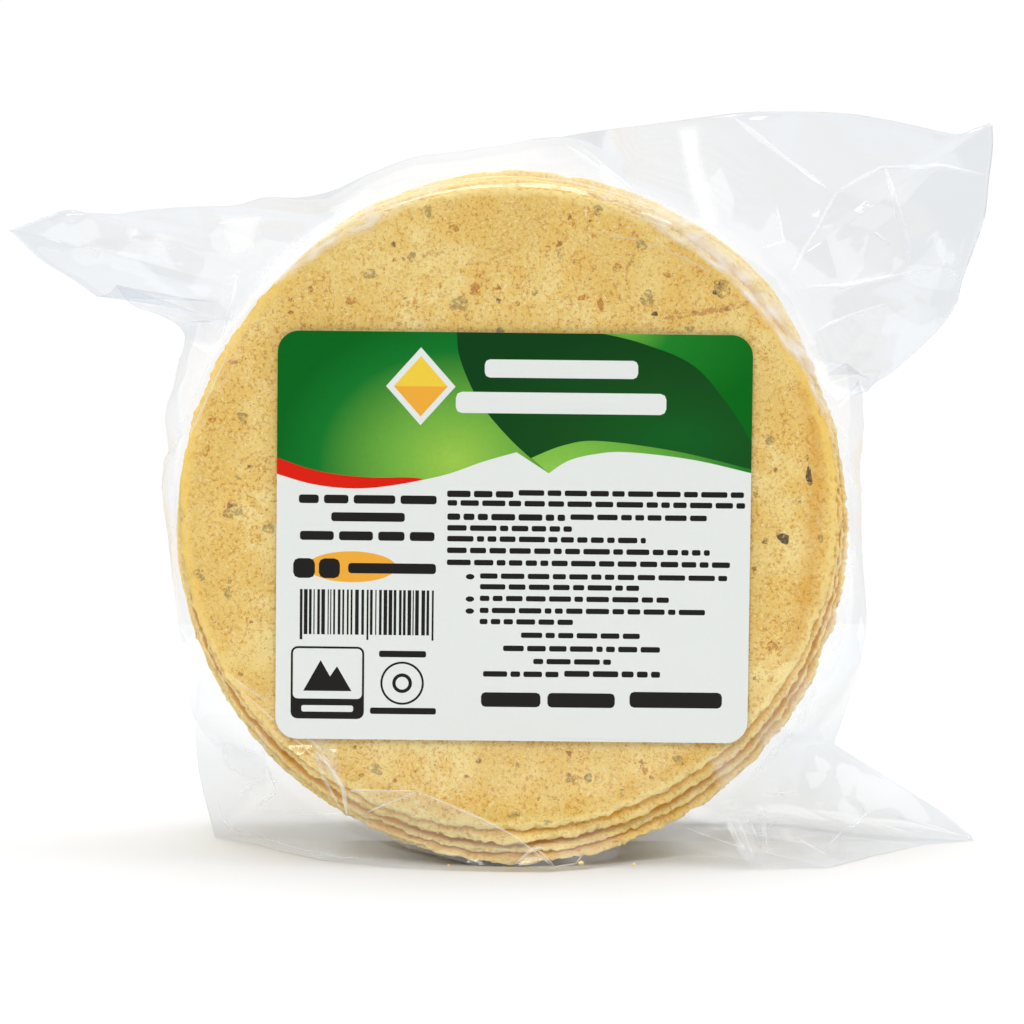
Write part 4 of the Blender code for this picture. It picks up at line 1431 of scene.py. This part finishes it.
# header: left field, then its leaf shaped overlap, then the field at the right
region([(0.0, 0.0)] + [(41.2, 0.0)] + leaf_left[1:] + header_low[::-1], "green")
region(leaf_left + lime_low[1:] + leaf_right[::-1], "lime")
region(leaf_left[:-1] + dark_low + leaf_right[::-1], "leaf")
region([(74.8, 0.0), (109.4, 0.0)] + leaf_right[::-1], "forest")
region(red_top + [p for p in header_low[::-1] if p[0] < 34.0], "red")
# plain emblem: a lozenge, pale round its edge
region([(33.0, 3.6), (41.0, 12.6), (33.0, 21.6), (25.0, 12.6)], "paper")
region([(33.0, 5.6), (39.2, 12.6), (33.0, 19.6), (26.8, 12.6)], "gold")
region([(33.0, 12.6), (39.2, 12.6), (33.0, 19.6), (26.8, 12.6)], "orange")


def words(u0, u1, v, height, seed, name="ink", gap=1.0, longest=9.0, shortest=2.4):
    """A run of plain bars, in the rhythm of a printed line."""
    r = np.random.default_rng(seed)
    u = u0
    while u < u1 - 0.8:
        w = r.uniform(shortest, longest)
        end = min(u + w, u1)
        if u1 - end < shortest:
            end = u1
        region(rounded(u, v - height / 2, end, v + height / 2, height * 0.28, 2), name)
        u = end + gap


# two heavy bars where the pack has its title
words(47.7, 83.0, 8.3, 4.2, 1, "paper", 0.0, 99.0)
words(41.1, 89.6, 16.2, 4.9, 2, "paper", 0.0, 99.0, 60.0)
# left column
words(5.1, 36.9, 38.9, 2.0, 3, "ink", 1.2, 11.0, 4.0)
words(12.6, 29.6, 43.0, 2.1, 4, "ink", 1.0, 30.0, 8.0)
words(5.4, 36.5, 47.4, 2.1, 5, "ink", 1.2, 9.0, 3.0)
region(ellipse(17.4, 54.6, 10.3, 3.6), "orange")
words(3.9, 14.7, 55.0, 4.6, 6, "ink", 0.9, 5.4, 4.6)
words(16.6, 36.9, 54.9, 2.4, 7, "ink", 0.0, 99.0)
# bar pattern
bars = np.random.default_rng(44)
u = 5.5
while u < 36.6:
    w = bars.choice([0.28, 0.45, 0.62, 0.85])
    tall = 70.4 if not (abs(u - 5.7) < 0.7 or abs(u - 21) < 0.7 or u > 36.0) else 71.6
    region([(u, 59.9), (min(u + w, 37.0), 59.9), (min(u + w, 37.0), tall), (u, tall)], "ink")
    u += w + bars.choice([0.32, 0.42, 0.6])
# framed square, holding a plain shape, and a ring
region(rounded(3.5, 73.2, 20.5, 90.1, 1.6, 4), "ink")
region(rounded(4.0, 73.7, 20.0, 85.4, 1.1, 4), "paper")
region([(6.4, 83.6), (10.4, 76.4), (12.6, 80.2), (14.2, 77.8), (17.6, 83.6)], "ink")
words(6.0, 18.0, 87.7, 1.5, 8, "paper", 0.0, 99.0)
words(23.9, 34.8, 74.8, 1.5, 9, "ink", 0.0, 99.0)
region(ellipse(29.3, 81.6, 5.05, 5.05), "ink")
region(ellipse(29.3, 81.6, 4.55, 4.55), "paper")
region(ellipse(29.3, 81.6, 2.3, 2.3, 24), "ink")
region(ellipse(29.3, 81.6, 1.5, 1.5, 24), "paper")
words(21.9, 37.2, 88.1, 1.5, 10, "ink", 0.0, 99.0)
# right column
for k, (u0, u1, v, h) in enumerate(
    [
        (39.3, 54.6, 37.4, 1.5),
        (55.8, 107.8, 37.0, 1.3),
        (39.4, 108.1, 39.5, 1.3),
        (39.4, 66.6, 42.7, 1.5),
        (67.8, 99.3, 42.5, 1.3),
        (39.4, 68.2, 45.3, 1.3),
        (39.4, 85.3, 47.8, 1.3),
        (39.4, 100.1, 50.5, 1.3),
        (39.4, 104.8, 53.3, 1.3),
        (47.1, 104.2, 56.4, 1.25),
        (47.1, 83.9, 58.9, 1.25),
        (47.1, 90.8, 61.6, 1.25),
        (47.1, 99.2, 64.4, 1.25),
        (47.1, 68.7, 67.0, 1.25),
        (56.7, 84.2, 70.1, 1.25),
        (52.6, 88.9, 73.2, 1.3),
        (59.6, 77.6, 76.2, 1.25),
        (48.0, 65.5, 79.2, 1.3),
        (66.8, 89.0, 79.0, 1.4),
        (47.6, 78.6, 85.2, 3.4),
        (82.0, 103.4, 84.9, 3.7),
    ]
):
    words(u0, u1, v, h, 100 + k, "ink", 0.75 if h < 3 else 1.6, 6.2 if h < 3 else 14.0, 1.5 if h < 3 else 9.0)
for v in (56.6, 61.8, 64.6):
    region(ellipse(44.8, v, 1.0, 0.65, 16), "ink")


def print_material(name, colour, roughness=0.34, gradient=None):
    made, n = new_material("print_" + name)
    where = n.add("ShaderNodeTexCoord").outputs["Object"]
    grain = n.noise(where, 900.0, 2.0, 0.6)
    if gradient is None:
        base = n.mix(n.math("MULTIPLY", grain, 0.5), srgb(*colour), srgb(*[min(255, c * 0.965 + 2) for c in colour]))
    else:
        stops, centre, reach = gradient
        place = label_place(*centre)
        moved = n.add(
            "ShaderNodeVectorMath", operation="SUBTRACT", inputs={0: where, 1: tuple(c * MM for c in place)}
        ).outputs[0]
        squeezed = n.add(
            "ShaderNodeVectorMath",
            operation="MULTIPLY",
            inputs={0: moved, 1: (1000.0 / reach[0], 0.0, 1000.0 / reach[1])},
        ).outputs[0]
        far = n.add("ShaderNodeVectorMath", operation="LENGTH", inputs={0: squeezed}).outputs["Value"]
        base = n.ramp(far, [(p, srgb(*c)) for p, c in stops])
        base = n.mix(n.math("MULTIPLY", grain, 0.12), base, srgb(10, 60, 20))
    bump = n.add("ShaderNodeBump", inputs={"Strength": 0.15, "Distance": 0.0001, "Height": grain})
    shader = n.add(
        "ShaderNodeBsdfPrincipled", inputs={"Base Color": base, "Normal": bump.outputs[0], "Roughness": roughness}
    )
    shader.inputs["Specular IOR Level"].default_value = 0.12
    finish(n, shader.outputs[0])
    return made


PRINT = {
    "paper": print_material("paper", (226, 229, 225)),
    "ink": print_material("ink", (30, 28, 27)),
    "red": print_material("red", (216, 30, 10)),
    "gold": print_material("gold", (238, 204, 66)),
    "orange": print_material("orange", (236, 170, 58)),
    "green": print_material(
        "green", (6, 104, 34), gradient=([(0.0, (156, 200, 76)), (0.3, (118, 178, 66)), (0.75, (14, 118, 40)), (1.0, (0, 100, 26))], (41.0, 30.0), (42.0, 34.0))
    ),
    "lime": print_material(
        "lime", (96, 168, 62), gradient=([(0.0, (140, 196, 76)), (0.4, (112, 178, 64)), (1.0, (24, 122, 42))], (64.0, 31.0), (44.0, 20.0))
    ),
    "leaf": print_material(
        "leaf", (19, 74, 29), gradient=([(0.0, (14, 92, 30)), (0.5, (18, 74, 24)), (1.0, (8, 62, 20))], (92.0, 24.0), (50.0, 26.0))
    ),
    "forest": print_material(
        "forest", (3, 107, 28), gradient=([(0.0, (104, 172, 60)), (0.3, (28, 128, 38)), (1.0, (0, 102, 20))], (80.0, 0.0), (34.0, 20.0))
    ),
}


def build_label():
    """One mesh, cut exactly along the edges of every printed field."""
    names = list(PRINT)
    pts, edges = [], []

    def add_loop(loop):
        start = len(pts)
        for u, v in loop:
            pts.append(Vector((min(max(u, 0.0), LABEL_W), min(max(v, 0.0), LABEL_H))))
        n = len(loop)
        edges.extend((start + i, start + (i + 1) % n) for i in range(n))

    add_loop(outline_label)
    for polygon, _ in REGIONS:
        add_loop(polygon)
    for u in np.arange(4, LABEL_W, 6.0):
        for v in np.arange(4, LABEL_H, 6.0):
            pts.append(Vector((u, v)))
    vert, _, tri, _, _, _ = delaunay_2d_cdt(pts, edges, [], 0, 1e-4)
    vert = np.array([(p.x, p.y) for p in vert])
    tri = np.array([t for t in tri if len(t) == 3])
    mid = vert[tri].mean(1)
    keep = inside(mid[:, 0], mid[:, 1], outline_label)
    kind = np.zeros(len(tri), int)
    for polygon, name in REGIONS:
        hit = inside(mid[:, 0], mid[:, 1], polygon)
        kind[hit] = names.index(name)
    tri, kind = tri[keep], kind[keep]
    bm = bmesh.new()

    def lift(u, v):
        """The label lies on slightly uneven film."""
        edge = min(u, v, LABEL_W - u, LABEL_H - v)
        return 0.10 * math.sin(u * 0.09 + 1.0) * math.sin(v * 0.07) + 0.0 * edge

    made = {}
    for k in np.unique(tri):
        u, v = vert[k]
        made[int(k)] = bm.verts.new(Vector(label_place(u, v, lift(u, v))) * MM)
    for t, m in zip(tri, kind):
        try:
            f = bm.faces.new([made[int(i)] for i in t])
        except ValueError:
            continue
        f.material_index = int(m)
    bm.normal_update()
    for f in bm.faces:
        if f.normal.y > 0:
            f.normal_flip()
    # paper thickness: a rim going back from the outline
    rim_edges = [e for e in bm.edges if e.is_boundary]
    ret = bmesh.ops.extrude_edge_only(bm, edges=rim_edges)
    moved = [g for g in ret["geom"] if isinstance(g, bmesh.types.BMVert)]
    for v in moved:
        v.co.y += 0.28 * MM
    for g in ret["geom"]:
        if isinstance(g, bmesh.types.BMFace):
            g.material_index = 0
    mesh = bpy.data.meshes.new("label_print")
    bm.to_mesh(mesh)
    bm.free()
    obj = bpy.data.objects.new("label_print", mesh)
    bpy.context.scene.collection.objects.link(obj)
    for name in names:
        mesh.materials.append(PRINT[name])
    return obj


label_print = build_label()
pieces.append(label_print)

# ------------------------------------------------------------ floor, light ----
floor_material, n = new_material("pale_floor")
where = n.add("ShaderNodeTexCoord").outputs["Object"]
tone = n.noise(where, 12.0, 2.0, 0.5)
floor_base = n.ramp(tone, [(0.3, (0.745, 0.755, 0.765)), (0.7, (0.76, 0.77, 0.78))])
shader = n.add("ShaderNodeBsdfPrincipled", inputs={"Base Color": floor_base, "Roughness": 0.85})
shader.inputs["Specular IOR Level"].default_value = 0.15
finish(n, shader.outputs[0])
floor = mesh_object(
    "floor",
    [(-600, -420, 0), (600, -420, 0), (600, 420, 0), (-600, 420, 0)],
    [(0, 1, 2, 3)],
    floor_material,
    False,
)

world = bpy.data.worlds.new("studio")
bpy.context.scene.world = world
world.use_nodes = True
n = Nodes(world.node_tree)
direction = n.add("ShaderNodeTexCoord").outputs["Generated"]
axes = n.add("ShaderNodeSeparateXYZ", inputs={0: direction}).outputs
rear = n.add("ShaderNodeMapRange", inputs={0: axes[1], 1: -0.35, 2: 0.45, 3: 0.42, 4: 0.95}).outputs[0]
ceiling = n.add("ShaderNodeMapRange", inputs={0: axes[2], 1: 0.35, 2: 0.8, 3: 0.0, 4: 0.62}).outputs[0]
above = n.add("ShaderNodeMapRange", inputs={0: axes[2], 1: -0.30, 2: 0.02, 3: 0.5, 4: 1.0}).outputs[0]
glow = n.math("MULTIPLY", n.math("ADD", rear, ceiling), above)
seen = n.add("ShaderNodeLightPath").outputs["Is Camera Ray"]
strength = n.math("ADD", n.math("MULTIPLY", seen, 1.02), n.math("MULTIPLY", n.math("SUBTRACT", 1.0, seen), glow))
back = n.add("ShaderNodeBackground", inputs={"Color": (1, 1, 1, 1), "Strength": strength})
out = n.add("ShaderNodeOutputWorld")
n.tree.links.new(back.outputs[0], out.inputs["Surface"])


def softbox(name, place, aim, width, height, power):
    data = bpy.data.lights.new(name, "AREA")
    data.shape = "RECTANGLE"
    data.size, data.size_y = width, height
    data.energy = power
    data.color = (1.0, 1.0, 1.0)
    lamp = bpy.data.objects.new(name, data)
    lamp.location = place
    lamp.rotation_euler = (Vector(aim) - Vector(place)).to_track_quat("-Z", "Y").to_euler()
    bpy.context.scene.collection.objects.link(lamp)
    return lamp


softbox("soft_front", (-0.10, -1.05, 1.00), (0, 0, 0.08), 0.6, 0.5, 6.2)
softbox("soft_right", (1.00, 0.10, 0.80), (0, 0, 0.10), 1.3, 1.0, 5.0)
softbox("soft_left", (-1.00, 0.10, 0.90), (0, 0, 0.10), 1.2, 1.0, 4.0)

# -------------------------------------------------------------- parts to the body ----
for piece in pieces:
    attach(piece, "root")
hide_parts("bag")
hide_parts("label")
